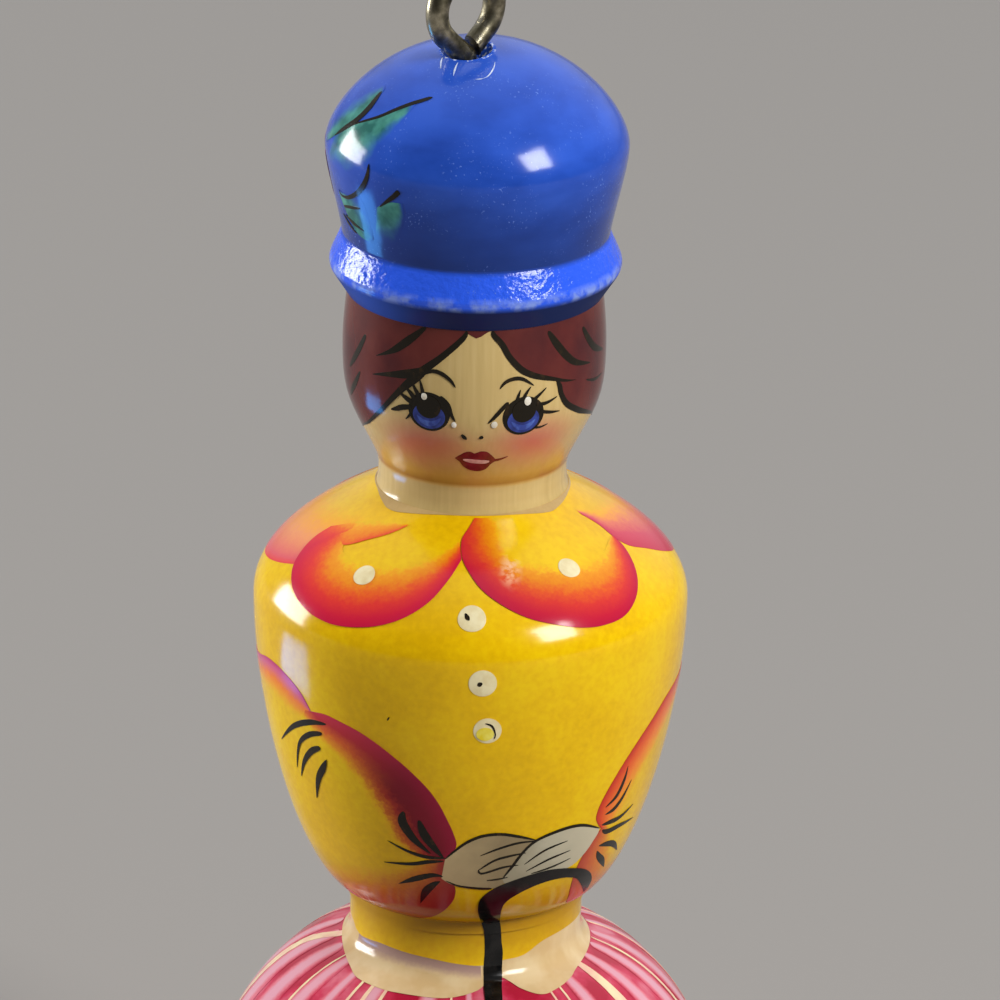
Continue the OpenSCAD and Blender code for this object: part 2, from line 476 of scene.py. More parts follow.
WAIST_SEAM = OUTLINES["torso"][0, 0]
HAT_SEAM = OUTLINES["hat"][0, 0]
waist_socket = foot_socket("waist_dowel", WAIST_SEAM)
skins = {
    "skirt": turn_skin("skirt", [(0, 0)], head_socket("waist_dowel", WAIST_SEAM)),
    "torso": turn_skin("torso", waist_socket, head_socket("neck_dowel", NECK_SEAM)),
    "head": turn_skin("head", foot_socket("neck_dowel", NECK_SEAM), head_socket("hat_dowel", HAT_SEAM)),
    "hat": turn_skin("hat", foot_socket("hat_dowel", HAT_SEAM), [], CAP_RADIUS, close_crown),
}
for node, skin in skins.items():
    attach(skin, "doll")
    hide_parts(node)
    print(skin.name, len(skin.data.polygons), "faces")

# %% [markdown]
# ## How a finish is built
#
# Every surface here is paint or bare wood under one coat of clear lacquer. So each material is a
# Principled shader with a coat, which alone is shiny, and its colour comes from a few nodes. Brushed paint
# is never one flat colour: it is thin in places and streaked by the bristles, so clouds of noise move the
# colour between a thin and a thick shade. A painted image could do that too, but noise on the object's own
# coordinates has no seams and stays sharp at any distance.

# %% Shader and nodes
COAT_ROUGHNESS = 0.14
COAT_IOR = 1.36


def new_finish(name, roughness=0.45):
    """A material under clear lacquer: returns it with its node tree and its shader."""
    material = bpy.data.materials.new(name)
    material.use_nodes = True
    shader = material.node_tree.nodes["Principled BSDF"]
    shader.inputs["Roughness"].default_value = roughness
    shader.inputs["Specular IOR Level"].default_value = 0
    shader.inputs["Coat Weight"].default_value = 1
    shader.inputs["Coat IOR"].default_value = COAT_IOR
    shader.inputs["Coat Roughness"].default_value = COAT_ROUGHNESS
    return material, material.node_tree, shader


def add_node(tree, kind, sockets=None, **settings):
    """A shader node with values for its sockets and its own settings."""
    made = tree.nodes.new(kind)
    for name, value in settings.items():
        setattr(made, name, value)
    for name, value in (sockets or {}).items():
        if isinstance(value, bpy.types.NodeSocket):
            tree.links.new(value, made.inputs[name])
        else:
            made.inputs[name].default_value = value
    return made


print("lacquer: IOR", COAT_IOR, "and roughness", COAT_ROUGHNESS)

# %% [markdown]
# ## Short words for nodes
#
# A finish is a chain of nodes, and linking them one by one takes several lines for each. The idea of the
# finish gets lost in them. So every kind of node has a short word here: cloud for noise, shades for a row of
# colours, mix for one colour over another, and plus, minus and times. A finish then reads like a recipe.

# %% Colours from noise
EVEN = (1, 1, 1)
BRUSHED = (1, 1, 0.7)


def object_place(tree):
    """The object's own coordinates."""
    return add_node(tree, "ShaderNodeTexCoord").outputs["Object"]


def cloud(tree, scale, stretch=EVEN, detail=2):
    """Soft noise on the object's own coordinates, from 0 to 1."""
    mapping = add_node(tree, "ShaderNodeMapping", {"Vector": object_place(tree), "Scale": stretch})
    sockets = {"Vector": mapping.outputs["Vector"], "Scale": scale, "Detail": detail}
    return add_node(tree, "ShaderNodeTexNoise", sockets).outputs["Fac"]


def shades(tree, factor, stops):
    """Colours along a factor, from stops of a position and a colour."""
    made = add_node(tree, "ShaderNodeValToRGB", {"Fac": factor})
    elements = made.color_ramp.elements
    while len(elements) < len(stops):
        elements.new(0.5)
    for element, (position, colour) in zip(elements, stops):
        element.position = position
        element.color = (*colour, 1)
    return made.outputs["Color"]


def mix(tree, factor, first, second):
    """One colour over another by a factor."""
    made = add_node(tree, "ShaderNodeMix", data_type="RGBA")
    for socket, value in zip((made.inputs[0], made.inputs[6], made.inputs[7]), (factor, first, second)):
        if isinstance(value, bpy.types.NodeSocket):
            tree.links.new(value, socket)
        else:
            socket.default_value = (*value, 1) if isinstance(value, tuple) else value
    return made.outputs[2]


print("brushed paint is stretched by", BRUSHED)

# %% Sums and heights
def calculate(tree, operation, first, second, clamp=False):
    """One step of arithmetic."""
    made = add_node(tree, "ShaderNodeMath", {0: first, 1: second}, operation=operation, use_clamp=clamp)
    return made.outputs["Value"]


def plus(tree, first, second):
    return calculate(tree, "ADD", first, second)


def minus(tree, first, second, clamp=False):
    return calculate(tree, "SUBTRACT", first, second, clamp)


def times(tree, first, second, clamp=False):
    return calculate(tree, "MULTIPLY", first, second, clamp)


def height_between(tree, low, high):
    """0 below the low height and 1 above the high one, both in mm."""
    height = add_node(tree, "ShaderNodeSeparateXYZ", {0: object_place(tree)}).outputs["Z"]
    sockets = {"Value": height, "From Min": low * MM, "From Max": high * MM}
    return add_node(tree, "ShaderNodeMapRange", sockets).outputs["Result"]


print("sums and heights can be worked out in nodes")

# %% [markdown]
# ## Waves in the lacquer
#
# Dipped lacquer is never quite flat: it keeps faint waves over the brush marks below, and they make the
# reflections swim a little. Waves in the mesh would need very many points. A bump bends the normals instead,
# and gives the same play of light.

# %% Lacquer with slight waves
LACQUER_RIPPLE = 0.012
RIPPLE_SCALE = 420


def ripple(tree, shader, height, depth):
    """Raises the lacquer by a height from 0 to 1, at most depth in mm."""
    bump = add_node(tree, "ShaderNodeBump", {"Height": height, "Distance": depth * MM, "Strength": 1.0})
    tree.links.new(bump.outputs["Normal"], shader.inputs["Normal"])
    tree.links.new(bump.outputs["Normal"], shader.inputs["Coat Normal"])


def lacquer(name, colour_of, scale=RIPPLE_SCALE, stretch=BRUSHED):
    """A finish under slightly wavy lacquer; colour_of makes its colour in the node tree."""
    material, tree, shader = new_finish(name)
    tree.links.new(colour_of(tree), shader.inputs["Base Color"])
    ripple(tree, shader, cloud(tree, scale, stretch), LACQUER_RIPPLE)
    return material


print("waves in the lacquer:", LACQUER_RIPPLE, "mm")

# %% [markdown]
# ## Yellow ground
#
# The ground is the first colour that a painter lays on the bare wood, and on the body it is yellow. Just
# above the waist it gets darker towards the bottom. One colour on the shader would be quick, but flat. The
# yellow is a function of its own, because the reds that fade into it later have to end in exactly the same
# shade.

# %% Yellow ground
YELLOW_THIN = (0.72, 0.41, 0.001)
YELLOW = (0.79, 0.47, 0.0012)
YELLOW_THICK = (0.84, 0.54, 0.002)
YELLOW_LOW_DARK = (0.34, 0.16, 0.004)
LOW_DARK_SHARE = 0.8
LOW_DARK_FOOT = (34.4, 37.6)
LOW_DARK_TOP = (38.6, 43.5)


def yellow_paint(tree):
    """Brushed yellow: a little cloudy and speckled, and darker low down, just above the waist."""
    clouds = times(tree, cloud(tree, 150, BRUSHED, detail=5), 0.6)
    speckle = times(tree, cloud(tree, 1900, detail=3), 0.4)
    stops = [(0.38, YELLOW_THIN), (0.5, YELLOW), (0.62, YELLOW_THICK)]
    colour = shades(tree, plus(tree, clouds, speckle), stops)
    # Darker in a band just above the waist seam, fading out upwards and downwards.
    below = minus(tree, LOW_DARK_SHARE, times(tree, height_between(tree, *LOW_DARK_TOP), LOW_DARK_SHARE))
    return mix(tree, times(tree, below, height_between(tree, *LOW_DARK_FOOT)), colour, YELLOW_LOW_DARK)


YELLOW_FINISH = lacquer("yellow_lacquer", yellow_paint)
skins["torso"].data.materials.append(YELLOW_FINISH)
print("yellow ground on", skins["torso"].name)

# %% [markdown]
# ## Blue ground of the hat
#
# The hat is blue, with painted shade that makes it darker low on the crown. The brim was painted thickly, so
# it is pitted. Its edge gets a pale painted highlight, and below it is dark with painted shade and less
# glossy, except for a patch of painted window light on the left. Each zone could be a material of its own,
# but then a hard line would part them. Here one material mixes the zones by height, and only the crushed
# lacquer round the eye has its own.

# %% Blue paint
BLUE_THIN = (0.013, 0.056, 0.36)
BLUE = (0.02, 0.078, 0.47)
BLUE_THICK = (0.028, 0.1, 0.56)
BLUE_PAINTED_SHADE = (0.006, 0.024, 0.13)
CROWN_SHADE_RISE = (91, 98)
CROWN_SHADE_SHARE = 0.75


def blue_paint(tree):
    """Brushed blue, with painted shade that makes it darker low on the crown."""
    clouds = cloud(tree, 190, (1, 1, 2), detail=4)
    colour = shades(tree, clouds, [(0.3, BLUE_THIN), (0.5, BLUE), (0.7, BLUE_THICK)])
    # Painted shade: low on the crown the blue is mixed towards a dark blue.
    return mix(tree, height_between(tree, *CROWN_SHADE_RISE), mix(tree, CROWN_SHADE_SHARE, colour, BLUE_PAINTED_SHADE), colour)


print("the blue gets paler between", CROWN_SHADE_RISE, "mm")

# %% Brim and flecks
BRIM_BLUE = (0.028, 0.11, 0.82)
BRIM_EDGE_HIGHLIGHT = (0.22, 0.32, 0.78)
BRIM_UNDER_SHADE = (0.014, 0.026, 0.11)
BRIM_WINDOW_LIGHT = (0.035, 0.085, 0.4)
WINDOW_LIGHT_PLACE = (-50, 87.3)
WINDOW_LIGHT_HALF = (8, 8, 4)
FLECK = (0.14, 0.25, 0.68)
BRIM_TOP = 90.45
BRIM_EDGE = 88.1
UNDER_DEEP = 0.5
EDGE_HIGHLIGHT_REACH = (0.05, 0.7)


def patches(tree, scale, detail, low, high, full=1.0):
    """Scattered patches: 0 where the noise is below low, and full where it is above high."""
    return shades(tree, cloud(tree, scale, detail=detail), [(low, (0, 0, 0)), (high, (full, full, full))])


def smooth_range(tree, value, low, high):
    """0 at low and 1 at high, with a soft start and end."""
    sockets = {"Value": value, "From Min": low, "From Max": high}
    return add_node(tree, "ShaderNodeMapRange", sockets, interpolation_type="SMOOTHSTEP").outputs["Result"]


def near(tree, middle, half):
    """1 at a point on the piece, falling softly to 0 at half its size away."""
    sizes = tuple(1 / (value * MM) for value in half)
    away = add_node(tree, "ShaderNodeVectorMath", {0: object_place(tree), 1: middle}, operation="SUBTRACT")
    sockets = {0: away.outputs["Vector"], 1: sizes}
    scaled = add_node(tree, "ShaderNodeVectorMath", sockets, operation="MULTIPLY")
    length = add_node(tree, "ShaderNodeVectorMath", {0: scaled.outputs["Vector"]}, operation="LENGTH")
    return smooth_range(tree, length.outputs["Value"], 1.0, 0.0)


def brim_paint(tree):
    """A brim with a painted highlight at its edge, and painted shade below, lit on the left by painted window
    light.
    """
    # Painted highlight: pale patches along the brim's edge.
    edge_highlight = minus(tree, 1.0, height_between(tree, *(BRIM_EDGE + reach for reach in EDGE_HIGHLIGHT_REACH)), clamp=True)
    edge_highlight = times(tree, edge_highlight, patches(tree, 900, detail=4, low=0.42, high=0.6))
    brim = mix(tree, edge_highlight, BRIM_BLUE, BRIM_EDGE_HIGHLIGHT)
    # Painted shade under the brim, with a patch of painted window light on the left.
    under = mix(tree, near(tree, on_skin("hat", *WINDOW_LIGHT_PLACE), WINDOW_LIGHT_HALF), BRIM_UNDER_SHADE, BRIM_WINDOW_LIGHT)
    return mix(tree, height_between(tree, BRIM_EDGE - UNDER_DEEP, BRIM_EDGE), under, brim)


def flecks(tree):
    """Sparse pale flecks under the lacquer."""
    fine = patches(tree, 5200, detail=1, low=0.66, high=0.76, full=0.8)
    return times(tree, fine, patches(tree, 260, detail=2, low=0.44, high=0.62))


print("brim from", BRIM_EDGE, "to", BRIM_TOP, "mm")

# %% Blue and crushed lacquer
UNDER_COAT = 0.15
BRIM_BLEND = (0.3, 0.2)
PITS_FROM = 0.3
PIT_DEEP = 10
CRUSHED_COAT = 0.3
CRUSHED_DEPTH = 0.03
SPLINTER = (0.7, 0.76, 0.9)


def blue_lacquer():
    """The hat's blue with sparse flecks, and a brim that is pitted and less glossy below."""
    material, tree, shader = new_finish("blue_lacquer")
    crown = height_between(tree, BRIM_TOP - BRIM_BLEND[0], BRIM_TOP + BRIM_BLEND[1])
    upper = height_between(tree, BRIM_EDGE, BRIM_EDGE + PITS_FROM)
    colour = mix(tree, crown, brim_paint(tree), blue_paint(tree))
    colour = mix(tree, times(tree, flecks(tree), upper), colour, FLECK)
    tree.links.new(colour, shader.inputs["Base Color"])
    glossy = times(tree, height_between(tree, BRIM_EDGE - UNDER_DEEP, BRIM_EDGE), 1 - UNDER_COAT)
    tree.links.new(plus(tree, UNDER_COAT, glossy), shader.inputs["Coat Weight"])
    pits = times(tree, times(tree, cloud(tree, 1700, detail=3), PIT_DEEP), upper)
    ripple(tree, shader, mix(tree, crown, pits, cloud(tree, RIPPLE_SCALE)), LACQUER_RIPPLE)
    return material


def crushed_lacquer():
    """Lacquer that the eye has broken up: dull, and pale where it splintered."""
    material, tree, shader = new_finish("crushed_lacquer", roughness=0.6)
    shader.inputs["Coat Weight"].default_value = CRUSHED_COAT
    splinters = cloud(tree, 2600, detail=4)
    colour = shades(tree, splinters, [(0.38, BLUE), (0.53, BLUE_THICK), (0.63, SPLINTER)])
    tree.links.new(colour, shader.inputs["Base Color"])
    ripple(tree, shader, splinters, CRUSHED_DEPTH)
    return material


skins["hat"].data.materials.append(blue_lacquer())
skins["hat"].data.materials.append(crushed_lacquer())
print("blue ground on", skins["hat"].name)

# %% [markdown]
# ## Bare wood and rouge
#
# The face has no ground: it is bare wood under lacquer, so its fine upright grain shows. Rouge was rubbed
# into the cheeks. Under the chin an amber tint is painted reflected light from the yellow body, with painted
# shade, and the crease above the neck is a dark line of painted shade. Rouge could be laid on as pieces of
# paint, but it has no edge at all. So it is mixed into the wood's own colour, round two points.

# %% Bare wood and rouge
WOOD_DARK = (0.54, 0.38, 0.145)
WOOD = (0.59, 0.42, 0.165)
WOOD_PALE = (0.63, 0.46, 0.195)
WOOD_PAINTED_SHADE = (0.26, 0.11, 0.03)
CHIN_REFLECTED_AMBER = (0.54, 0.255, 0.03)
ROUGE = (0.58, 0.16, 0.11)
CHEEKS = [(-23, 76.3), (29, 76.5)]
CHEEK_HALF = (5.3, 5.3, 3.4)
CREASE = 72.9
ROUGE_SHARE = 0.95
REFLECTED_SHARE = 0.85
REFLECTED_HIGH = 3
REFLECTED_LOW = 0.4
CREASE_SHADE_ABOVE = 0.7
CREASE_SHADE_BELOW = 0.25
GRAIN_DEPTH = 0.006


def wood_colour(tree):
    """Pale wood with fine upright grain."""
    grain = times(tree, cloud(tree, 2600, (1, 1, 0.03), detail=4), 0.5)
    tone = times(tree, cloud(tree, 130, (1, 1, 0.5)), 0.5)
    return shades(tree, plus(tree, grain, tone), [(0.36, WOOD_DARK), (0.5, WOOD), (0.64, WOOD_PALE)])


def varnished_wood(name, cheeks, painted_shade=0.0):
    """Bare wood under lacquer, darkened or not as painted shade, with rouge on the cheeks, painted
    reflected light under the chin and painted shade in the crease.
    """
    material, tree, shader = new_finish(name, roughness=0.5)
    # Painted shade: the wood may be darkened by a share.
    colour = mix(tree, painted_shade, wood_colour(tree), WOOD_PAINTED_SHADE)
    # Painted reflected light from the yellow body, with painted shade: amber under the chin.
    high = times(tree, height_between(tree, CREASE, CREASE + REFLECTED_HIGH), REFLECTED_SHARE)
    chin_reflection = times(tree, minus(tree, REFLECTED_SHARE, high), height_between(tree, CREASE - REFLECTED_LOW, CREASE))
    colour = mix(tree, chin_reflection, colour, CHIN_REFLECTED_AMBER)
    # Painted shade: a dark, uneven line in the crease between chin and neck.
    above = height_between(tree, CREASE - CREASE_SHADE_BELOW, CREASE)
    below = minus(tree, 1.0, height_between(tree, CREASE, CREASE + CREASE_SHADE_ABOVE))
    crease_shade = times(tree, times(tree, above, below), cloud(tree, 300, detail=3))
    colour = mix(tree, crease_shade, colour, WOOD_PAINTED_SHADE)
    for angle, height in cheeks:
        rouge = near(tree, on_skin("head", angle, height), CHEEK_HALF)
        colour = mix(tree, times(tree, rouge, ROUGE_SHARE), colour, ROUGE)
    tree.links.new(colour, shader.inputs["Base Color"])
    ripple(tree, shader, cloud(tree, 1700, (1, 1, 0.045), detail=3), GRAIN_DEPTH)
    return material


skins["head"].data.materials.append(varnished_wood("varnished_wood", CHEEKS))
print("bare wood on", skins["head"].name, "with", len(CHEEKS), "rouged cheeks")

# %% [markdown]
# ## Red ground of the skirt
#
# The red was brushed downwards from the waist, so its streaks fan out with the skirt. Streaks could be
# drawn one by one, but noise that is stretched along the height gives many fine ones at once.

# %% Red ground of the skirt
RED_DEEP = (0.42, 0.012, 0.04)
RED = (0.56, 0.03, 0.08)
RED_PINK = (0.66, 0.16, 0.22)


def red_paint(tree):
    """Red with long upright streaks."""
    streaks = cloud(tree, 330, (1, 1, 0.12), detail=4)
    return shades(tree, streaks, [(0.4, RED_DEEP), (0.52, RED), (0.68, RED_PINK)])


skins["skirt"].data.materials.append(lacquer("red_lacquer", red_paint))
print("red ground on", skins["skirt"].name)

# %% [markdown]
# ## How a brush stroke is built
#
# A stroke could be painted into a texture, but then it has no edge and no thickness, and it blurs when
# seen up close. Real strokes stand a little proud of the wood. So each one is a small grid, bent onto the
# turned surface: one way of the grid runs along the stroke and the other across it. A number called shade
# is kept on every point, and the materials use it to let a colour fade from a crisp edge into the ground.
# The grid then gets a real thickness.

# %% Smooth lines
def through(points, share):
    """The place at a share of the way along a smooth line through points."""
    spans = len(points) - 1
    first = min(int(share * spans), spans - 1)
    t = share * spans - first
    near_points = [points[min(max(first + step, 0), spans)] for step in (-1, 0, 1, 2)]
    return [
        0.5 * (2 * b + (c - a) * t + (2 * a - 5 * b + 4 * c - d) * t * t + (3 * b - a - 3 * c + d) * t ** 3)
        for a, b, c, d in zip(*near_points)
    ]


def surface_step(node, height):
    """How many mm one degree and one mm of height are, measured on the surface."""
    return math.radians(radius_at(node, height)), math.hypot(1, slope_at(node, height))


print("one degree and one mm on the chest:", [round(step, 2) for step in surface_step("torso", 60)], "mm")

# %% Strokes, fields and spots
LEAST_WIDTH = 0.03
LOOK = 0.02
ROUND_END = 10


def stroke(node, points, blunt=()):
    """A brush line through points of angle, height and width, round at ends 0 and 1 that aren't blunt."""
    def place(along, across):
        angle, height, width = through(points, along)
        ahead = through(points, min(along + LOOK, 1))
        behind = through(points, max(along - LOOK, 0))
        per_degree, per_mm = surface_step(node, height)
        run = (ahead[0] - behind[0]) * per_degree
        rise = (ahead[1] - behind[1]) * per_mm
        length = math.hypot(run, rise)
        rounded = math.sqrt(max(1 - abs(2 * along - 1) ** ROUND_END, 0))
        side = (across - 0.5) * max(width * (1 if round(along) in blunt else rounded), LEAST_WIDTH)
        shade = abs(2 * across - 1)
        return angle - rise / length * side / per_degree, height + run / length * side / per_mm, shade, 0
    return place


def strokes(node, lines):
    """A brush line for each list of points."""
    return [stroke(node, line) for line in lines]


def field(edge, fade, shade=None, thin=0.0):
    """Paint from a crisp edge line to the line where it has faded; it gets thinner towards that line."""
    def place(along, across):
        angle, height = through(edge, along)
        far_angle, far_height = through(fade, along)
        value = shade(along, across) if shade else across
        return (
            angle + (far_angle - angle) * across, height + (far_height - height) * across,
            value, -thin * across * across,
        )
    return place


def spot(node, angle, height, half_wide, half_tall, dome=0.0):
    """A dab of paint: an ellipse in mm, higher in the middle by dome."""
    def place(along, across):
        per_degree, per_mm = surface_step(node, height)
        turn = 2 * math.pi * along
        return (
            angle + math.cos(turn) * across * half_wide / per_degree,
            height + math.sin(turn) * across * half_tall / per_mm, across, dome * (1 - across * across),
        )
    return place


print("the thinnest line is", LEAST_WIDTH, "mm wide")

# %% [markdown]
# ## Laying paint
#
# A shape only says where each point of a grid goes. This helper makes the grid, moves its points there,
# merges those that fall together, turns the paint right side out and gives it a thickness. A solidify
# modifier could do the last step, but the operator leaves a finished mesh that can be measured as it is.

# %% Lay paint on the wood
PAINT_THICKNESS = 0.02
MERGE = 2e-7
HALF_GRID = 0.5
INSIDE = {node: Vector((0, 0, points[:, 0].mean() * MM)) for node, points in OUTLINES.items()}


def paint(name, node, places, finish, lift=0.03, grid=(24, 4)):
    """Lays one or more shapes of paint on a turned piece, as one object that rides with the doll."""
    bm = bmesh.new()
    shade_layer = bm.verts.layers.float.new("shade")
    along_layer = bm.verts.layers.float.new("along")
    for place in places:
        made = bmesh.ops.create_grid(bm, x_segments=grid[0], y_segments=grid[1], size=HALF_GRID)["verts"]
        for vert in made:
            along = vert.co.x + HALF_GRID
            angle, height, shade, rise = place(along, vert.co.y + HALF_GRID)
            vert[shade_layer] = shade
            vert[along_layer] = along
            vert.co = on_skin(node, angle, height, lift + rise)
        bmesh.ops.remove_doubles(bm, verts=made, dist=MERGE)
        faces = list(dict.fromkeys(face for vert in made if vert.is_valid for face in vert.link_faces))
        bm.normal_update()
        if sum(face.normal.dot(face.calc_center_median() - INSIDE[node]) for face in faces) < 0:
            bmesh.ops.reverse_faces(bm, faces=faces)
        bmesh.ops.solidify(bm, geom=faces, thickness=PAINT_THICKNESS * MM)
    piece = finish_mesh(name, bm)
    piece.data.materials.append(finish)
    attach(piece, "doll")
    print(name, len(places), "strokes,", len(piece.data.polygons), "faces")
    return piece


print("paint is", PAINT_THICKNESS, "mm thick")

# %% [markdown]
# ## Ink and cream
#
# Black ink draws every outline, and cream makes the buttons. Both are opaque, but a brush never lays them
# evenly. A maker of such paints takes a thin and a thick colour, so that each new paint is one line.

# %% Paints used in many places
INK = (0.008, 0.005, 0.001)
INK_THIN = (0.04, 0.02, 0.004)
CREAM_THIN = (0.74, 0.62, 0.34)
CREAM = (0.82, 0.72, 0.44)
BRUSH_SCALE = 700


def brushed(name, thin, thick, scale=900, low=0.38, high=0.62):
    """Paint of one colour, uneven as a brush leaves it."""
    def colour_of(tree):
        return shades(tree, cloud(tree, scale, BRUSHED, detail=3), [(low, thin), (high, thick)])
    return lacquer(name, colour_of, scale=BRUSH_SCALE, stretch=EVEN)


INK_FINISH = brushed("black_ink", INK_THIN, INK, scale=1400, low=0.2, high=0.42)
CREAM_FINISH = brushed("cream_paint", CREAM_THIN, CREAM, scale=1500)
print("paints:", INK_FINISH.name, CREAM_FINISH.name)

# %% [markdown]
# ## Hair
#
# The hair is a brown field that starts at the parting under the hat and runs round to the nape. It could
# be part of the head's material, but its edge has to follow a drawn line. So its lower edge is a line
# through a few points, its upper edge is the seam of the hat, and ink strokes then draw the edge and the
# curls.

# %% Hair
HAIR_TOP = 85.86
HAIR_DARK = (0.066, 0.009, 0.011)
HAIR = (0.1, 0.014, 0.013)
HAIR_LIGHT = (0.13, 0.022, 0.017)
LEFT_HAIR = [
    (1, 85.3), (-1.2, 85.5), (-3.3, 85.6), (-7.1, 84.86), (-10.5, 84.3), (-14.3, 83.7), (-20.8, 82.7),
    (-25, 82), (-29, 81.25), (-33.2, 80.6), (-39.4, 79.45), (-45.8, 78.4), (-53, 77.4), (-61.7, 76.5),
    (-70, 75.9), (-80, 75.2), (-95, 74.6), (-120, 74.2), (-150, 74), (-180, 74),
]
RIGHT_HAIR = [
    (1, 85.3), (3.4, 85.46), (6, 85.75), (8.4, 85.75), (12.5, 84.75), (15.7, 83.75), (20.8, 82.75),
    (26, 82.2), (31.4, 81.85), (37, 81.5), (39.3, 81.1), (41, 80.35), (45.6, 79.25), (54.4, 78.3),
    (62, 77.7), (72, 77.1), (80, 76.5), (95, 75.4), (120, 74.5), (150, 74.1), (180, 74),
]


def hair_paint(tree):
    """Thin brown paint, redder in the middle of a lock."""
    clouds = cloud(tree, 260, (1, 1, 0.8), detail=4)
    return shades(tree, clouds, [(0.34, HAIR_DARK), (0.5, HAIR), (0.68, HAIR_LIGHT)])


HAIR_FINISH = lacquer("brown_hair", hair_paint, scale=900, stretch=EVEN)
hair_fields = [field(line, [(angle, HAIR_TOP) for angle, _ in line]) for line in (LEFT_HAIR, RIGHT_HAIR)]
paint("hair", "head", hair_fields, HAIR_FINISH, grid=(120, 14))

# %% [markdown]
# ## Ink on the hair
#
# A fine brush with black ink follows the edge of the hair and draws curls in it. Such lines could be curves
# with a bevel, but those are round wires. Strokes lie flat, and their width changes from point to point.

# %% Ink on the hair
HAIR_STROKES = [
    [(-3.2, 85.86, 0.3), (-4, 85.45, 0.4), (-7.1, 84.86, 0.45), (-14.3, 83.7, 0.5),
     (-20.8, 82.75, 0.62), (-25, 82.05, 0.8), (-29, 81.35, 0.66), (-33.2, 80.65, 0.5),
     (-39.4, 79.5, 0.4), (-45.8, 78.4, 0.34), (-54, 77.3, 0.25), (-62, 76.5, 0.2), (-80, 75.25, 0.1)],
    [(8.2, 85.86, 0.3), (8.9, 85.5, 0.42), (12.5, 84.78, 0.45), (15.7, 83.8, 0.46), (20.8, 82.8, 0.5),
     (26, 82.25, 0.46), (31.4, 81.9, 0.4), (37, 81.6, 0.3), (44, 81.2, 0.2), (50, 81, 0.06)],
    [(38.6, 81.5, 0.2), (40.4, 80.9, 0.42), (41.6, 80.2, 0.42), (45.6, 79.25, 0.46),
     (54.4, 78.35, 0.45), (62, 77.8, 0.35), (80, 76.6, 0.12)],
    [(-18.5, 82.95, 0.2), (-25, 82.35, 0.6), (-31, 82, 0.66), (-37, 81.75, 0.46), (-43, 81.5, 0.26),
     (-49.5, 81.2, 0.08)],
    [(-21.7, 85.88, 0.3), (-26, 85.2, 0.5), (-30.4, 84.55, 0.62), (-35, 83.9, 0.56), (-38.5, 83.5, 0.4),
     (-43, 83.1, 0.2), (-47.4, 82.75, 0.06)],
    [(-55.4, 83.95, 0.35), (-59.8, 82.65, 0.5), (-64.5, 81.6, 0.46), (-69.5, 80.7, 0.2)],
    [(-58.7, 80.9, 0.2), (-63.3, 79.8, 0.45), (-68, 78.95, 0.4), (-72, 78.3, 0.15)],
    [(34.5, 85.35, 0.36), (39, 84.2, 0.6), (45, 83.0, 0.6), (51, 82.3, 0.45), (61, 81.8, 0.12)],
    [(56, 84.8, 0.34), (60, 83.7, 0.55), (66, 82.7, 0.55), (76, 82.0, 0.15)],
    [(58, 80.6, 0.1), (66, 80.2, 0.24), (76, 80.1, 0.08)],
]
paint("hair_ink", "head", strokes("head", HAIR_STROKES), INK_FINISH, lift=0.045, grid=(40, 4))

# %% [markdown]
# ## Eyes
#
# Each eye was dabbed on in layers: a black rim, a blue iris with a light at its foot, a black pupil and a
# white glint. One round material with rings would be less work, but the layers are not concentric. So
# every layer is a spot of its own, lifted a little more than the one below it.

# %% Eyes
IRIS_DEEP = (0.02, 0.03, 0.16)
IRIS = (0.035, 0.06, 0.3)
IRIS_LIGHT = (0.09, 0.17, 0.56)
LEFT_EYE = (-19.6, 79.33)
RIGHT_EYE = (22.8, 79.05)
EYE_RIM = (1.64, 1.58)
EYE_IRIS = (1.26, 1.04)
EYE_PUPIL = (0.95, 0.92)
IRIS_BELOW = 0.34
PUPIL_ABOVE = 0.42
GLINT_DOME = 0.03
CRESCENT_BELOW = 0.95
CRESCENT_STEP = 1.4
CRESCENT_BEND = 0.32
CRESCENT_WIDTH = 0.36
CRESCENT_TIP = 0.1
GLINTS = [
    (-21.5, 80.55, 0.23, 0.27), (24.2, 80.25, 0.27, 0.35), (-8.2, 78.5, 0.19, 0.25),
    (9.5, 78.55, 0.24, 0.28),
]


def crescent(angle, height):
    """The light at the foot of an iris: a stroke that bends up and gets thin at both ends."""
    line = []
    for side in (-4, -2, 0, 2, 4):
        width = CRESCENT_TIP + CRESCENT_WIDTH * (1 - side * side / 16)
        rise = CRESCENT_BEND * side * side / 9
        line.append((angle + CRESCENT_STEP * side, height - CRESCENT_BELOW + rise, width))
    return stroke("head", line)


IRIS_FINISH = brushed("blue_iris", IRIS_DEEP, IRIS, scale=1300, low=0.36, high=0.56)
LIGHT_FINISH = brushed("iris_light", IRIS, IRIS_LIGHT, scale=1300)
WHITE_FINISH = brushed("white_paint", (0.7, 0.64, 0.5), (0.88, 0.84, 0.74), scale=1800)
eyes = [LEFT_EYE, RIGHT_EYE]
irises = [spot("head", angle, height - IRIS_BELOW, *EYE_IRIS) for angle, height in eyes]
pupils = [spot("head", angle, height + PUPIL_ABOVE, *EYE_PUPIL) for angle, height in eyes]
glints = [spot("head", *glint, GLINT_DOME) for glint in GLINTS]
paint("eye_rims", "head", [spot("head", *eye, *EYE_RIM) for eye in eyes], INK_FINISH, grid=(40, 5))
paint("irises", "head", irises, IRIS_FINISH, lift=0.045, grid=(40, 5))
paint("iris_light", "head", [crescent(*eye) for eye in eyes], LIGHT_FINISH, lift=0.055, grid=(24, 4))
paint("pupils", "head", pupils, INK_FINISH, lift=0.06, grid=(32, 4))
paint("glints", "head", glints, WHITE_FINISH, lift=0.075, grid=(20, 4))

# %% [markdown]
# ## Brows, lashes and nose
#
# These are single flicks of a fine brush: broad where the brush landed and thin where it left. A curve
# with a round section would be a wire. A stroke keeps its width point by point, so each flick is three or
# four points.

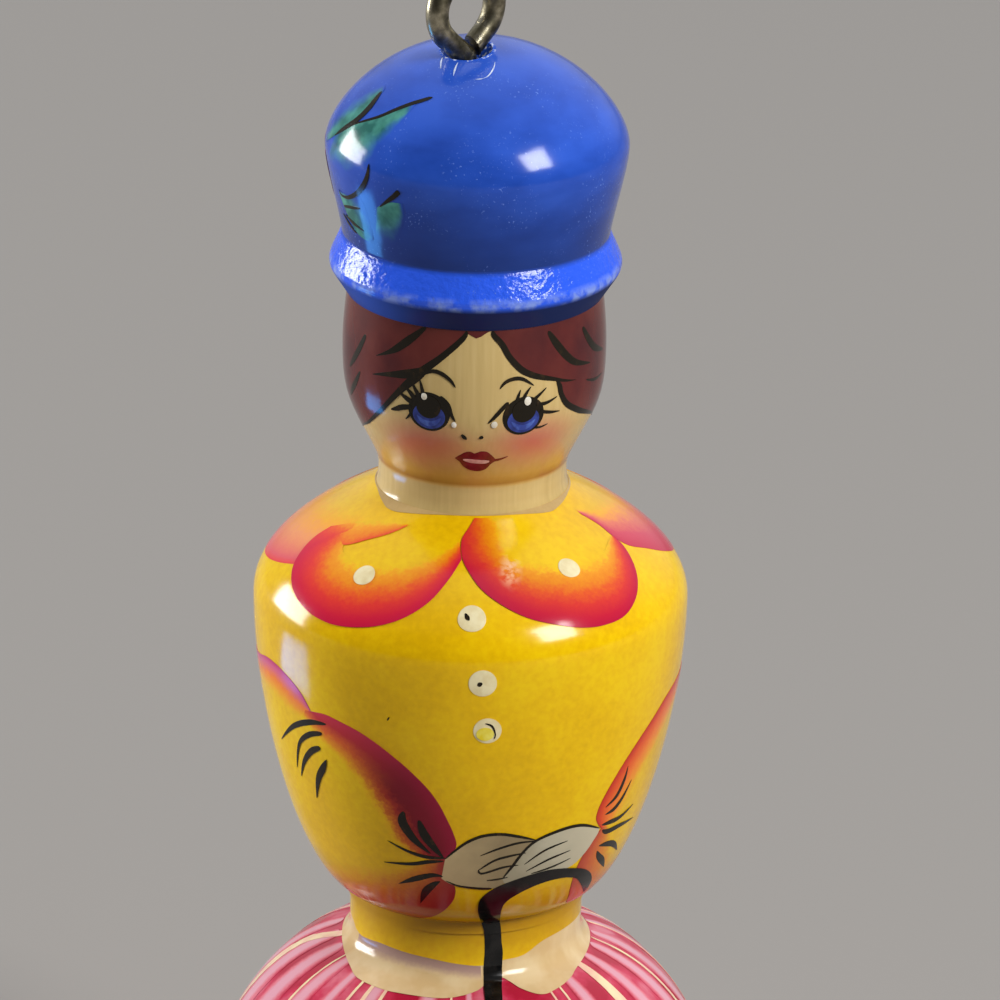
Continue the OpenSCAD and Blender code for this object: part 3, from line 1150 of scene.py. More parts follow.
# %% Brows, lashes, nose
FACE_STROKES = [
    [(-22, 82.25, 0.14), (-18, 82.6, 0.28), (-14, 82.5, 0.32), (-10, 82.05, 0.26), (-7.6, 81.5, 0.1)],
    [(11.5, 81.4, 0.1), (14, 81.9, 0.26), (18, 82.12, 0.3), (22, 82.0, 0.26), (27, 81.4, 0.1)],
    [(-14.5, 80.7, 0.3), (-11, 80.1, 0.36), (-9.5, 79.35, 0.3), (-7.6, 78.75, 0.1)],
    [(15.5, 80.3, 0.3), (12, 79.65, 0.32), (9, 79.05, 0.26), (6.6, 78.65, 0.08)],
    [(-21.8, 80.6, 0.34), (-22.7, 81.2, 0.26), (-23.6, 81.8, 0.08)],
    [(-24, 80.5, 0.36), (-25.8, 81.0, 0.28), (-27.6, 81.55, 0.08)],
    [(-26, 80.2, 0.38), (-28.2, 80.65, 0.32), (-31, 81.1, 0.08)],
    [(-27.5, 79.9, 0.4), (-30.4, 80.15, 0.36), (-34, 80.5, 0.1)],
    [(-27.5, 79.5, 0.36), (-32, 79.35, 0.44), (-35.4, 79.1, 0.36), (-38.6, 78.9, 0.14)],
    [(-28, 78.95, 0.26), (-31, 78.4, 0.08)],
    [(19, 80.2, 0.26), (19.8, 80.7, 0.22), (20.8, 81.2, 0.06)],
    [(22, 80.4, 0.26), (23.6, 80.9, 0.22), (25.6, 81.35, 0.06)],
    [(26.5, 80.2, 0.28), (29.5, 80.55, 0.24), (33.2, 81.05, 0.06)],
    [(28.5, 79.8, 0.3), (34, 79.85, 0.26), (39.2, 80.15, 0.06)],
    [(30.5, 79.25, 0.28), (36, 79.0, 0.24), (41.3, 78.9, 0.06)],
    [(28.5, 77.95, 0.2), (32, 77.9, 0.16), (35.4, 78.05, 0.05)],
    [(-5, 77.68, 0.16), (-3.8, 77.45, 0.3), (-2.7, 77.25, 0.12)],
    [(3.1, 77.35, 0.12), (4.0, 77.45, 0.3), (4.9, 77.5, 0.14)],
]
paint("face_ink", "head", strokes("head", FACE_STROKES), INK_FINISH, lift=0.05, grid=(20, 4))

# %% [markdown]
# ## Mouth
#
# The lips are one red shape with a bow above, a tail at the right corner and a pale line between them. The
# shape could be two spots, but a field between an upper and a lower line follows the bow exactly.

# %% Mouth
LIP_UPPER = [
    (-8.6, 75.45), (-6, 75.75), (-3.5, 76.02), (-1, 76.1), (1.2, 75.95), (4, 76.12), (7, 76.08),
    (9.5, 75.75), (12.2, 75.25),
]
LIP_LOWER = [
    (-8.6, 75.4), (-6.5, 75.1), (-5, 74.72), (-2.5, 74.42), (1, 74.25), (4.5, 74.25), (7.5, 74.45),
    (9.5, 74.85), (12.2, 75.2),
]
LIP_TAIL = [(9.5, 75.2, 0.25), (14, 75.3, 0.2), (18, 75.52, 0.06)]
LIP_LINE = [
    (-4.7, 75.34, 0.18), (-1, 75.22, 0.36), (3, 75.15, 0.38), (6.5, 75.13, 0.34), (8.8, 75.17, 0.15),
]
LIP_FINISH = brushed("lip_red", (0.2, 0.016, 0.024), (0.13, 0.008, 0.014), scale=1500)
LIP_PALE = brushed("lip_pale", (0.56, 0.26, 0.23), (0.68, 0.38, 0.34), scale=1500)
paint("lips", "head", [field(LIP_LOWER, LIP_UPPER)], LIP_FINISH, grid=(32, 8))
paint("lip_tail", "head", [stroke("head", LIP_TAIL)], LIP_FINISH, lift=0.035)
paint("lip_line", "head", [stroke("head", LIP_LINE)], LIP_PALE, lift=0.045)

# %% [markdown]
# ## Bare wood at the neck
#
# The yellow ground stops a little below the neck in a wavy line, and bare wood shows above it, made a little
# darker as painted shade. The yellow could be cut out of the torso's material there. A band of wood laid over
# it needs no mask, and it meets the yellow in a crisp brushed edge.

# %% Bare wood at the neck
NECK_LINE = [
    (-180, 70.35), (-140, 70.4), (-110, 70.38), (-83, 70.44), (-73, 70.38), (-61, 70.15), (-53, 69.98),
    (-45, 69.99), (-37, 70.12), (-18, 70.37), (4, 70.44), (27, 70.34), (44, 70.1), (51, 70.04),
    (60, 70.14), (70, 70.27), (80, 70.36), (110, 70.4), (140, 70.35), (180, 70.35),
]
# The band of wood at the neck is darkened as painted shade.
NECK_PAINTED_SHADE = 0.3
NECK_GAP = 0.01
NECK_FINISH = varnished_wood("neck_wood", [], NECK_PAINTED_SHADE)
neck = [field(NECK_LINE, [(angle, NECK_SEAM - NECK_GAP) for angle, _ in NECK_LINE])]
paint("neck_wood", "torso", neck, NECK_FINISH, lift=0.03, grid=(240, 4))

# %% [markdown]
# ## Reds that fade into the yellow
#
# Collar and sleeves were painted with a loaded brush along one edge and then pulled inwards, so they are
# crimson at the edge and die away through orange into the yellow. Transparent paint could do that, but it
# is slow to render and has no colour of its own at the thin end. Here the shade on the points is the
# position in a row of colours, and the row ends in the ground itself.

# %% Paint that fades
FADE_DEPTH = 0.026
PALE_SMEAR = (0.86, 0.52, 0.3)
PALE_SMEAR_HALF = (1.1, 2.2, 1.9)
BARE_EARLY = 0.1
TURN = (0.2, 0.55)


def point_number(tree, name):
    """A number that is kept on the points of a piece of paint."""
    return add_node(tree, "ShaderNodeAttribute", attribute_name=name).outputs["Fac"]


def wander(tree, scale, amount, detail):
    """Noise that goes as far below 0 as above it."""
    return times(tree, minus(tree, cloud(tree, scale, detail=detail), 0.5), amount)


def faded(name, stops, ground=yellow_paint, smear_at=None, further=None):
    """Paint that runs through colours from its crisp edge into its ground.

    It may carry a pale smear at one place, and may turn to further colours along its length.
    """
    def colour_of(tree):
        shade = point_number(tree, "shade")
        coarse = wander(tree, scale=1500, amount=0.2, detail=5)
        fine = wander(tree, scale=4200, amount=0.18, detail=2)
        uneven = plus(tree, coarse, fine)
        inner = times(tree, uneven, times(tree, shade, 2.0, clamp=True))
        factor = plus(tree, shade, inner)
        colour = shades(tree, factor, stops)
        if further:
            turned = smooth_range(tree, point_number(tree, "along"), *TURN)
            colour = mix(tree, turned, colour, shades(tree, factor, further))
        bare = smooth_range(tree, factor, stops[-1][0] - BARE_EARLY, 1.0)
        colour = mix(tree, bare, colour, ground(tree))
        # A pale smear of scattered patches round one point.
        if smear_at:
            smear_patches = patches(tree, 1900, detail=4, low=0.42, high=0.6, full=0.9)
            colour = mix(tree, times(tree, near(tree, smear_at, PALE_SMEAR_HALF), smear_patches), colour, PALE_SMEAR)
        return colour
    return lacquer(name, colour_of)


def red_field(name, edge, fade, finish, shade=None, lift=0.03, grid=(64, 18)):
    """A field of red on the torso that fades into the yellow."""
    paint(name, "torso", [field(edge, fade, shade, FADE_DEPTH)], finish, lift, grid)


print("fading paint gets thinner by", FADE_DEPTH, "mm")

# %% [markdown]
# ## The collar
#
# The collar is a ring of petals round the neck. Two large ones meet in front, the left one ends in a hook,
# paler ones cover the shoulders and red ones the back. Each petal is a field between its crisp edge and the
# line where it has died away. Small functions bend its shade where the brush was fuller or drier.

# %% Front petals
CRIMSON = (0.55, 0.008, 0.05)
AMBER = (0.85, 0.36, 0.008)
PETAL_REDS = [
    (0.0, CRIMSON), (0.16, (0.62, 0.012, 0.042)), (0.38, (0.72, 0.036, 0.026)),
    (0.55, (0.78, 0.1, 0.012)), (0.72, (0.8, 0.24, 0.004)), (0.92, AMBER),
]
LEFT_PETAL_EDGE = [
    (-3.5, 68.3), (-8, 67.1), (-13, 65.9), (-20, 64.8), (-28, 64.05), (-38, 63.6), (-46, 63.65),
    (-53, 64), (-60, 64.6), (-66, 65.45), (-69.5, 66.4), (-71, 67.3), (-69.8, 68.05),
]
LEFT_PETAL_FADE = [
    (-5.4, 69.2), (-10, 68.8), (-16.5, 68.25), (-23, 67.85), (-30.4, 67.55), (-37, 67.35), (-43, 67.25),
    (-48, 67.3), (-52, 67.45), (-54.6, 67.72), (-56, 68.1), (-58, 68.45), (-61, 68.8),
]
LEFT_HOOK_EDGE = [
    (-66, 68.05), (-61, 68.0), (-57, 67.8), (-54.1, 67.74), (-50, 68.05), (-46.8, 68.36),
    (-39.2, 68.95), (-33.4, 69.5),
]
LEFT_HOOK_FADE = [
    (-68, 68.15), (-64, 68.55), (-60.5, 68.85), (-57, 69.05), (-52, 69.25), (-46, 69.42), (-40, 69.55),
    (-33.2, 69.6),
]
RIGHT_PETAL_EDGE = [
    (1.8, 70.3), (-1.2, 69.8), (-4.3, 69.2), (-3.3, 68.35), (0, 67.55), (4, 66.75), (10, 65.9),
    (17, 65.1), (25, 64.5), (33, 64), (40, 63.85), (47, 64), (54, 64.7), (60, 65.65), (64.5, 66.6),
    (67, 67.3), (67.6, 67.8),
]
RIGHT_PETAL_FADE = [
    (13, 70.28), (15, 69.95), (15.2, 69.5), (14.8, 69.1), (15, 68.75), (16, 68.4), (19, 68.15),
    (24, 67.95), (30.6, 67.75), (37, 67.6), (43, 67.5), (48, 67.45), (52, 67.4), (55.5, 67.5),
    (59, 67.65), (62.5, 67.8), (66.5, 67.9),
]
# Place of the pale smear on the right petal.
PALE_SMEAR_PLACE = (14.7, 67.7)
HEAVY = 0.45
HEAVY_FROM = 0.6
END_SHADES = (0.5, 0.46)
END_FROM = 0.8
START_LIGHT = 0.5
START_REACH = 0.3


def deeper(place, colour):
    """A petal colour made darker, most of all at its crisp edge."""
    share = 0.83 + 0.15 * place
    return place, tuple(share * part for part in colour)


def end_heavy(along, across):
    """Keeps a petal red for longer near its far end, and orange at the very end, where the hook starts."""
    red = across * (1 - HEAVY * max(along - HEAVY_FROM, 0) / (1 - HEAVY_FROM))
    orange = END_SHADES[0] + END_SHADES[1] * across
    return max(red, orange * max(along - END_FROM, 0) / (1 - END_FROM))


def start_light(along, across):
    """Makes a petal more orange near its start."""
    return across + START_LIGHT * (1 - across) * max(1 - along / START_REACH, 0)


def hook_shade(along, across):
    """Red in the middle of the hook and gone at both ends."""
    return 0.6 - 0.16 * along + (0.36 + 0.2 * along) * across


PETAL_FINISH = faded("petal_red", PETAL_REDS)
DEEPER_REDS = [deeper(*stop) for stop in PETAL_REDS]
SMEARED_FINISH = faded("smeared_red", DEEPER_REDS, smear_at=on_skin("torso", *PALE_SMEAR_PLACE))
red_field(
    "left_petal", LEFT_PETAL_EDGE, LEFT_PETAL_FADE, PETAL_FINISH, end_heavy, lift=0.066, grid=(72, 18),
)
red_field(
    "petal_hook", LEFT_HOOK_EDGE, LEFT_HOOK_FADE, PETAL_FINISH, hook_shade, lift=0.052, grid=(48, 12),
)
red_field(
    "right_petal", RIGHT_PETAL_EDGE, RIGHT_PETAL_FADE, SMEARED_FINISH, start_light, lift=0.074, grid=(96, 18),
)

# %% Shoulder and back petals
SCARLET = (0.74, 0.05, 0.045)
PINK = (0.7, 0.1, 0.12)
# The left shoulder's pinks are paler and more orange than the right's: painted window light.
WINDOW_LIT_PINKS = [(0.0, SCARLET), (0.1, PINK), (0.45, (0.8, 0.29, 0.1)), (0.75, AMBER)]
SHOULDER_REDS = [
    (0.0, (0.5, 0.02, 0.06)), (0.3, (0.58, 0.05, 0.09)), (0.55, (0.7, 0.16, 0.09)), (0.8, AMBER),
]
SHOULDER_LIFT = 0.028
SHOULDER_GRID = (56, 18)
LEFT_SHOULDER_EDGE = [
    (-63, 65.9), (-68, 65.6), (-75, 65.1), (-85, 64.5), (-96, 64.1), (-107, 64.2), (-118, 64.7),
    (-127, 65.6),
]
LEFT_SHOULDER_FADE = [
    (-56, 69.4), (-64, 69.4), (-73, 69.2), (-84, 69), (-95, 68.9), (-106, 69), (-117, 69.3),
    (-127, 69.6),
]
RIGHT_SHOULDER_EDGE = [
    (65.5, 69.3), (66.8, 69.0), (67.8, 68.5), (67.6, 67.8), (70, 67.1), (77, 66.4), (87, 65.3),
    (98, 64.4), (112, 64.4), (127, 65.7),
]
RIGHT_SHOULDER_FADE = [
    (66, 69.6), (69, 69.5), (72, 69.4), (75, 69.3), (80, 69.2), (88, 69.1), (98, 69), (108, 69.1),
    (118, 69.4), (127, 69.7),
]
BACK_EDGE = [
    (126, 65.6), (130, 64.9), (138, 64.2), (148, 63.8), (158, 64), (168, 64.7), (176, 65.6),
    (180, 66.4),
]
BACK_FADE = [
    (128, 69.6), (133, 69.2), (139, 68.9), (148, 68.8), (158, 68.9), (167, 69.2), (175, 69.6),
    (180, 69.9),
]


def mirrored(line, side):
    """A line of places on the right, or on the left where side is -1."""
    return [(side * angle, height) for angle, height in line]


WINDOW_LIT_PINK_FINISH = faded("petal_pink_window_lit", WINDOW_LIT_PINKS)
SHOULDER_FINISH = faded("shoulder_pink", SHOULDER_REDS)
# Left shoulder in the paler pinks of painted window light, right shoulder in the darker pinks.
red_field(
    "left_shoulder", LEFT_SHOULDER_EDGE, LEFT_SHOULDER_FADE, WINDOW_LIT_PINK_FINISH,
    lift=SHOULDER_LIFT, grid=SHOULDER_GRID,
)
red_field(
    "right_shoulder", RIGHT_SHOULDER_EDGE, RIGHT_SHOULDER_FADE, SHOULDER_FINISH,
    lift=SHOULDER_LIFT, grid=SHOULDER_GRID,
)
back_petals = []
for side in (-1, 1):
    back_petals.append(field(mirrored(BACK_EDGE, side), mirrored(BACK_FADE, side), None, FADE_DEPTH))
paint("back_petals", "torso", back_petals, PETAL_FINISH, lift=0.06, grid=SHOULDER_GRID)

# %% [markdown]
# ## Sleeves
#
# The sleeves hang from the back over the elbows to the hands. They are painted in the same way as the
# collar, but darker: the left forearm turns from red to wine on its way down, and both cuffs run on along
# the rim until they die away behind. One long field for a whole arm would crease at the elbow and at the
# wrist, so upper arm, forearm and cuff are fields of their own that meet under the ink.

# %% How sleeves die away
ELBOW_SHADE = 0.55
ELBOW_REACH = 0.1
ARM_REACH = 0.24
CUFF_SLOW = (0.35, 0.5)
CUFF_FAST = (0.76, 3.2)


def elbow_shade(along, across):
    """Starts a forearm orange at the elbow."""
    start = ELBOW_SHADE * max(1 - along / ELBOW_REACH, 0)
    return start + (1 - start) * across


def arm_shade(along, across):
    """Lets an upper arm die away at the back, where it starts."""
    worn = max(1 - along / ARM_REACH, 0)
    return worn + (1 - worn) * across


def cuff_shade(along, across):
    """Lets a cuff die away along the rim as well as upwards, first slowly and then fast."""
    worn = min(sum(rate * max(along - start, 0) for start, rate in (CUFF_SLOW, CUFF_FAST)), 1)
    return worn + (1 - worn) * across


print("shade along a cuff:", [round(cuff_shade(along, 0), 2) for along in (0, 0.5, 0.9, 1)])

# %% Left sleeve
ORANGE = (0.84, 0.2, 0.02)
WINE = (0.2, 0.002, 0.012)
ARM_PINKS = [(0.0, (0.5, 0.03, 0.16)), (0.16, (0.62, 0.1, 0.22)), (0.45, ORANGE), (0.75, AMBER)]
UPPER_REDS = [
    (0.0, (0.58, 0.03, 0.07)), (0.28, (0.52, 0.025, 0.036)), (0.55, (0.7, 0.12, 0.02)), (0.85, AMBER),
]
WINE_REDS = [
    (0.0, (0.3, 0.006, 0.035)), (0.25, (0.22, 0.003, 0.018)), (0.48, WINE),
    (0.64, (0.38, 0.024, 0.012)), (0.8, (0.6, 0.14, 0.01)), (0.93, AMBER),
]
CUFF_BROWNS = [
    (0.0, (0.26, 0.012, 0.014)), (0.3, (0.36, 0.04, 0.018)), (0.62, (0.6, 0.18, 0.012)),
    (0.84, (0.72, 0.34, 0.006)),
]
LEFT_UPPER_EDGE = [
    (-124, 55.2), (-112, 56), (-100, 56.6), (-88, 57.1), (-77.4, 57.65), (-71, 58.15), (-66.8, 58.35),
    (-62, 58.35), (-58, 58.13), (-54, 57.75), (-50.2, 57.09), (-47.3, 56.1),
]
LEFT_UPPER_FADE = [
    (-120, 53.6), (-110, 54.2), (-99, 54.6), (-88, 54.9), (-78, 55.2), (-72, 55.4), (-68, 55.4),
    (-64, 55.3), (-60, 55.1), (-56, 54.9), (-52, 54.9), (-47.6, 55.7),
]
LEFT_FORE_EDGE = [
    (-49.5, 55.9), (-45.8, 56.1), (-41.5, 56.25), (-37.3, 56.1), (-31, 55.7), (-25.5, 55), (-21, 54.2),
    (-17.2, 53.4), (-13.9, 52.55), (-11.2, 51.75), (-9.2, 51), (-7.4, 50.15), (-5.7, 49.1),
    (-3.9, 47.9), (-3, 46.6), (-6.5, 45.35),
]
LEFT_FORE_FADE = [
    (-51, 55.2), (-48, 54.5), (-44.5, 53.8), (-41, 53.2), (-37.5, 52.4), (-34.5, 51.6), (-32, 50.8),
    (-30, 50), (-28.3, 49.2), (-27, 48.5), (-26, 47.8), (-25, 47.1), (-24, 46.5), (-22, 45.9),
    (-19, 45.4), (-13, 45.2),
]
LEFT_CUFF_EDGE = [
    (-6.5, 45.35), (-5.2, 44.2), (-4, 43.2), (-3.4, 42.3), (-4.2, 41.4), (-6.6, 40.5), (-10.2, 39.7),
    (-15, 39.05), (-22.9, 38.5), (-32, 38.35), (-45, 38.3), (-60, 38.3), (-80, 38.3), (-100, 38.4),
    (-125, 38.6), (-150, 38.8),
]
LEFT_CUFF_FADE = [
    (-13, 45.2), (-17, 44.9), (-21, 44.5), (-25, 44.2), (-29, 43.9), (-33, 43.7), (-37, 43.5),
    (-42, 43.3), (-48, 43), (-54, 42.6), (-60, 42.1), (-68, 41.6), (-82, 41.2), (-100, 40.8),
    (-125, 40.4), (-150, 40),
]
SLEEVE_FINISH = faded("sleeve_wine", UPPER_REDS, further=WINE_REDS)
CUFF_FINISH = faded("cuff_brown", CUFF_BROWNS)
ARM_FINISH = faded("arm_pink", ARM_PINKS)
red_field("left_sleeve", LEFT_FORE_EDGE, LEFT_FORE_FADE, SLEEVE_FINISH, elbow_shade)
red_field("left_cuff", LEFT_CUFF_EDGE, LEFT_CUFF_FADE, CUFF_FINISH, cuff_shade)
red_field(
    "left_upper_sleeve", LEFT_UPPER_EDGE, LEFT_UPPER_FADE, ARM_FINISH, arm_shade, lift=0.028, grid=(48, 14),
)

# %% Right sleeve
SLEEVE_ORANGES = [(0.0, (0.5, 0.02, 0.012)), (0.2, (0.72, 0.08, 0.015)), (0.5, ORANGE), (0.8, AMBER)]
CUFF_ORANGES = [
    (0.0, (0.4, 0.045, 0.022)), (0.25, (0.54, 0.09, 0.03)), (0.6, (0.66, 0.19, 0.02)),
    (0.85, (0.74, 0.33, 0.006)),
]
RIGHT_UPPER_EDGE = [
    (124, 54.2), (112, 55.4), (100, 56), (88, 56.3), (78, 56.2), (69, 55.75), (62, 54.75), (55, 53.35),
    (49.5, 51.8), (45.5, 50.2), (43, 48.8), (42.5, 47.7), (44, 47), (46.2, 46.4),
]
RIGHT_UPPER_FADE = [
    (120, 53.4), (110, 54.2), (99, 54.4), (89, 54.2), (80, 53.6), (73, 52.7), (67.5, 51.6), (63, 50.5),
    (60, 49.6), (58, 48.8), (56.5, 48), (55, 47.3), (53, 46.8), (50, 46.5),
]
RIGHT_CUFF_EDGE = [
    (46.2, 46.4), (44, 45.7), (42, 44.8), (40.6, 43.6), (40.5, 42.4), (41.6, 41.2), (43.8, 40.1),
    (46.6, 39.2), (52, 38.8), (60, 38.5), (75, 38.4), (95, 38.5), (122, 38.7), (150, 38.8),
]
RIGHT_CUFF_FADE = [
    (50, 46.4), (52.5, 45.6), (54.5, 44.9), (56.5, 44.2), (58.5, 43.5), (61, 42.9), (64, 42.4),
    (68, 42), (73, 41.8), (80, 41.6), (90, 41.4), (104, 41.1), (126, 40.6), (150, 40),
]
RIGHT_FINISH = faded("sleeve_orange", SLEEVE_ORANGES)
RIGHT_CUFF_FINISH = faded("cuff_orange", CUFF_ORANGES)
red_field("right_sleeve", RIGHT_UPPER_EDGE, RIGHT_UPPER_FADE, RIGHT_FINISH, arm_shade)
red_field("right_cuff", RIGHT_CUFF_EDGE, RIGHT_CUFF_FADE, RIGHT_CUFF_FINISH, cuff_shade)

# %% [markdown]
# ## Creases of the sleeves
#
# Short fans of ink show where the cloth bunches at the elbow and the wrist. They are flicks like the
# lashes, only broader, so the same strokes serve.

# %% Creases of the sleeves
CREASES = [
    [(-41.5, 55.45, 0.2), (-48, 55.05, 0.46), (-56, 53.95, 0.4), (-66, 51.8, 0.06)],
    [(-43.5, 54.5, 0.36), (-49, 53.9, 0.44), (-54.5, 52.6, 0.3), (-58.5, 50.2, 0.06)],
    [(-45, 53.15, 0.4), (-49, 52.5, 0.5), (-53.5, 51.2, 0.36), (-57, 49.6, 0.06)],
    [(-43, 52.3, 0.1), (-45, 51.4, 0.55), (-48, 50.2, 0.5), (-50.8, 48.3, 0.06)],
    [(-18.5, 49.4, 0.3), (-19, 48.4, 0.75), (-16, 47.0, 0.62), (-11, 45.8, 0.12)],
    [(-14, 48.8, 0.3), (-12.5, 47.5, 0.72), (-9.5, 46.3, 0.5), (-7, 45.5, 0.12)],
    [(-24.8, 46.45, 0.06), (-18, 45.75, 0.26), (-12, 45.45, 0.32), (-6.5, 45.5, 0.14)],
    [(-27.5, 44.3, 0.06), (-18, 44.6, 0.3), (-12, 45.0, 0.34), (-7, 45.2, 0.14)],
    [(-23.7, 42.4, 0.06), (-17, 43.2, 0.5), (-11, 43.75, 0.42), (-7.5, 43.7, 0.12)],
    [(-16.8, 40.7, 0.06), (-14, 42.0, 0.6), (-11, 42.8, 0.5), (-8.5, 43.2, 0.1)],
    [(52, 51.4, 0.06), (51.5, 50.2, 0.32), (49.5, 49.0, 0.36), (45.6, 48.35, 0.1)],
    [(55.6, 49.9, 0.06), (53, 48.6, 0.34), (50, 47.85, 0.4), (46.3, 47.65, 0.1)],
    [(61.5, 47.2, 0.06), (55, 46.7, 0.38), (50, 46.7, 0.44), (46, 46.75, 0.14)],
    [(66, 45.6, 0.06), (57, 45.8, 0.42), (50, 45.85, 0.48), (47, 46.2, 0.14)],
    [(63, 43.0, 0.06), (57, 44.1, 0.5), (52, 44.55, 0.48), (48, 44.7, 0.12)],
    [(58, 41.9, 0.06), (53.5, 42.9, 0.54), (50, 43.6, 0.46), (48, 44.2, 0.12)],
]
paint("sleeve_ink", "torso", strokes("torso", CREASES), INK_FINISH, lift=0.045, grid=(28, 4))

# %% [markdown]
# ## Hands
#
# The hands meet in front. They were left in a thin wash, so they look like bare wood, and ink draws the
# outline and the fingers. Modelled fingers would be wrong here, because the real ones are flat paint. The
# tones of the wash change along each hand, so the material reads how far along a point is: painted shade
# darkens the left hand towards its right end, and a painted highlight lightens the right hand towards its
# right end.

# %% Hands
LEFT_HAND_TOP = [(-6.5, 45.4), (-3.5, 46.2), (0, 47), (4.5, 47.6), (10, 47.75), (16, 47.4), (22, 46.85)]
LEFT_HAND_BOTTOM = [(-8, 43.5), (-5, 43), (0, 42.75), (5, 42.6), (9, 42.55), (13, 43), (20, 45.6)]
RIGHT_HAND_TOP = [
    (12.3, 43.5), (15, 44.6), (18.3, 46), (22, 46.85), (28, 47.35), (34, 47.5), (39, 47.25),
    (45.3, 46.5),
]
RIGHT_HAND_BOTTOM = [
    (13, 43), (18, 43.1), (23, 43.2), (28, 43.3), (33, 43.4), (38, 43.7), (42, 44.6), (45.3, 46.1),
]
# Left hand darker towards its right end as painted shade; right hand paler towards its right end as painted
# highlight.
LEFT_SHADE_TONES = [(0.05, (0.56, 0.42, 0.22)), (0.35, (0.44, 0.33, 0.17)), (0.7, (0.28, 0.21, 0.11))]
RIGHT_HIGHLIGHT_TONES = [(0.2, (0.34, 0.3, 0.2)), (0.5, (0.46, 0.42, 0.3)), (0.9, (0.56, 0.5, 0.35))]


def hand_wash(name, stops):
    """A thin wash over the wood, in tones that change along the hand as painted shade and painted highlight.
    """
    def colour_of(tree):
        uneven = wander(tree, scale=600, amount=0.4, detail=3)
        return shades(tree, plus(tree, point_number(tree, "along"), uneven), stops)
    return lacquer(name, colour_of)


LEFT_SHADED_WASH = hand_wash("left_hand", LEFT_SHADE_TONES)
RIGHT_HIGHLIT_WASH = hand_wash("right_hand", RIGHT_HIGHLIGHT_TONES)
paint("left_hand", "torso", [field(LEFT_HAND_BOTTOM, LEFT_HAND_TOP)], LEFT_SHADED_WASH, lift=0.034, grid=(40, 12))
paint("right_hand", "torso", [field(RIGHT_HAND_BOTTOM, RIGHT_HAND_TOP)], RIGHT_HIGHLIT_WASH, lift=0.04, grid=(40, 12))

# %% Ink on the hands
HAND_WIDTH = 0.23
HAND_INK = [
    [(-6.5, 45.4, 0.1), (-3.5, 46.2, 0.18), (0, 47.0, HAND_WIDTH), (4.5, 47.6, 0.26), (10, 47.75, 0.26),
     (16, 47.4, HAND_WIDTH), (22, 46.85, 0.1)],
    [(-6.5, 43.3, 0.06), (-3, 42.9, 0.16), (0, 42.75, 0.2), (5, 42.6, HAND_WIDTH),
     (9, 42.55, HAND_WIDTH)],
    [(12.3, 43.5, 0.12), (15, 44.6, HAND_WIDTH), (18.3, 46.0, HAND_WIDTH), (22, 46.85, 0.25),
     (28, 47.35, 0.28), (34, 47.5, 0.28), (39, 47.25, 0.24), (45.5, 46.5, 0.12)],
    [(4.5, 45.8, 0.08), (10, 46.4, 0.18), (16, 46.8, 0.19), (22, 46.8, 0.1)],
    [(4, 44.4, 0.1), (9, 45.3, 0.19), (14, 45.65, 0.19), (19, 45.8, 0.08)],
    [(4, 44.4, 0.1), (5.5, 44.1, 0.18), (12, 44.6, 0.19), (17, 44.7, 0.08)],
    [(7, 43.4, 0.06), (10, 43.45, 0.16), (14, 43.6, 0.08)],
    [(19, 44.7, 0.08), (24, 45.6, 0.19), (28, 46.0, 0.18), (33, 46.25, 0.07)],
    [(20, 44.0, 0.08), (26, 44.7, 0.19), (30, 45.0, 0.18), (35, 45.25, 0.07)],
    [(22, 43.7, 0.08), (29, 44.0, 0.18), (36, 44.45, 0.07)],
]
paint("hand_ink", "torso", strokes("torso", HAND_INK), INK_FINISH, lift=0.055, grid=(28, 4))

# %% [markdown]
# ## Cane
#
# The hands hold a black cane that runs over them, round a bend and straight down the skirt. It is one
# brush line on the doll, but it crosses the seam between body and skirt. So it is two strokes, one on each
# piece, with blunt ends where they meet.

# %% Cane
CANE_HANDLE = [
    (54.5, 39.8, 0.5), (51.5, 40.8, 1.0), (47.5, 41.75, 1.1), (43, 42.5, 0.95), (38, 42.93, 0.9),
    (33, 43.15, 1.05), (28, 43.19, 1.25), (23, 42.98, 1.4), (17.7, 42.55, 1.65), (13, 41.95, 1.9),
    (10, 41.2, 2.0), (9.4, 40.3, 1.8), (10.2, 39.3, 1.55), (11.8, 38.4, 1.38), (13.1, 37.75, 1.3),
    (13.3, 37.25, 1.3),
]
CANE_STICK = [
    (13.7, 37.25, 1.3), (14.0, 36.4, 1.3), (14.4, 35.5, 1.4), (14, 34.5, 1.42), (13.5, 33.65, 1.4),
    (11.9, 32.73, 1.32), (10, 31.4, 1.25), (8.2, 29.2, 1.25), (6.6, 25, 1.2), (5.9, 19, 1.2),
    (5.5, 12, 1.2), (5.3, 5, 1.2),
]
CANE_FINISH = brushed("cane_black", (0.012, 0.011, 0.01), (0.003, 0.003, 0.003))
paint("cane_handle", "torso", [stroke("torso", CANE_HANDLE, (1,))], CANE_FINISH, lift=0.07, grid=(72, 6))
paint("cane_stick", "skirt", [stroke("skirt", CANE_STICK, (0,))], CANE_FINISH, lift=0.105, grid=(72, 6))

# %% [markdown]
# ## Buttons and collar dots
#
# Buttons and dots are dabs of thick cream that dried with a low dome. A flat disc would do from afar, but
# the dome catches the light. Ink marks and a worn yellow spot sit on top of them.

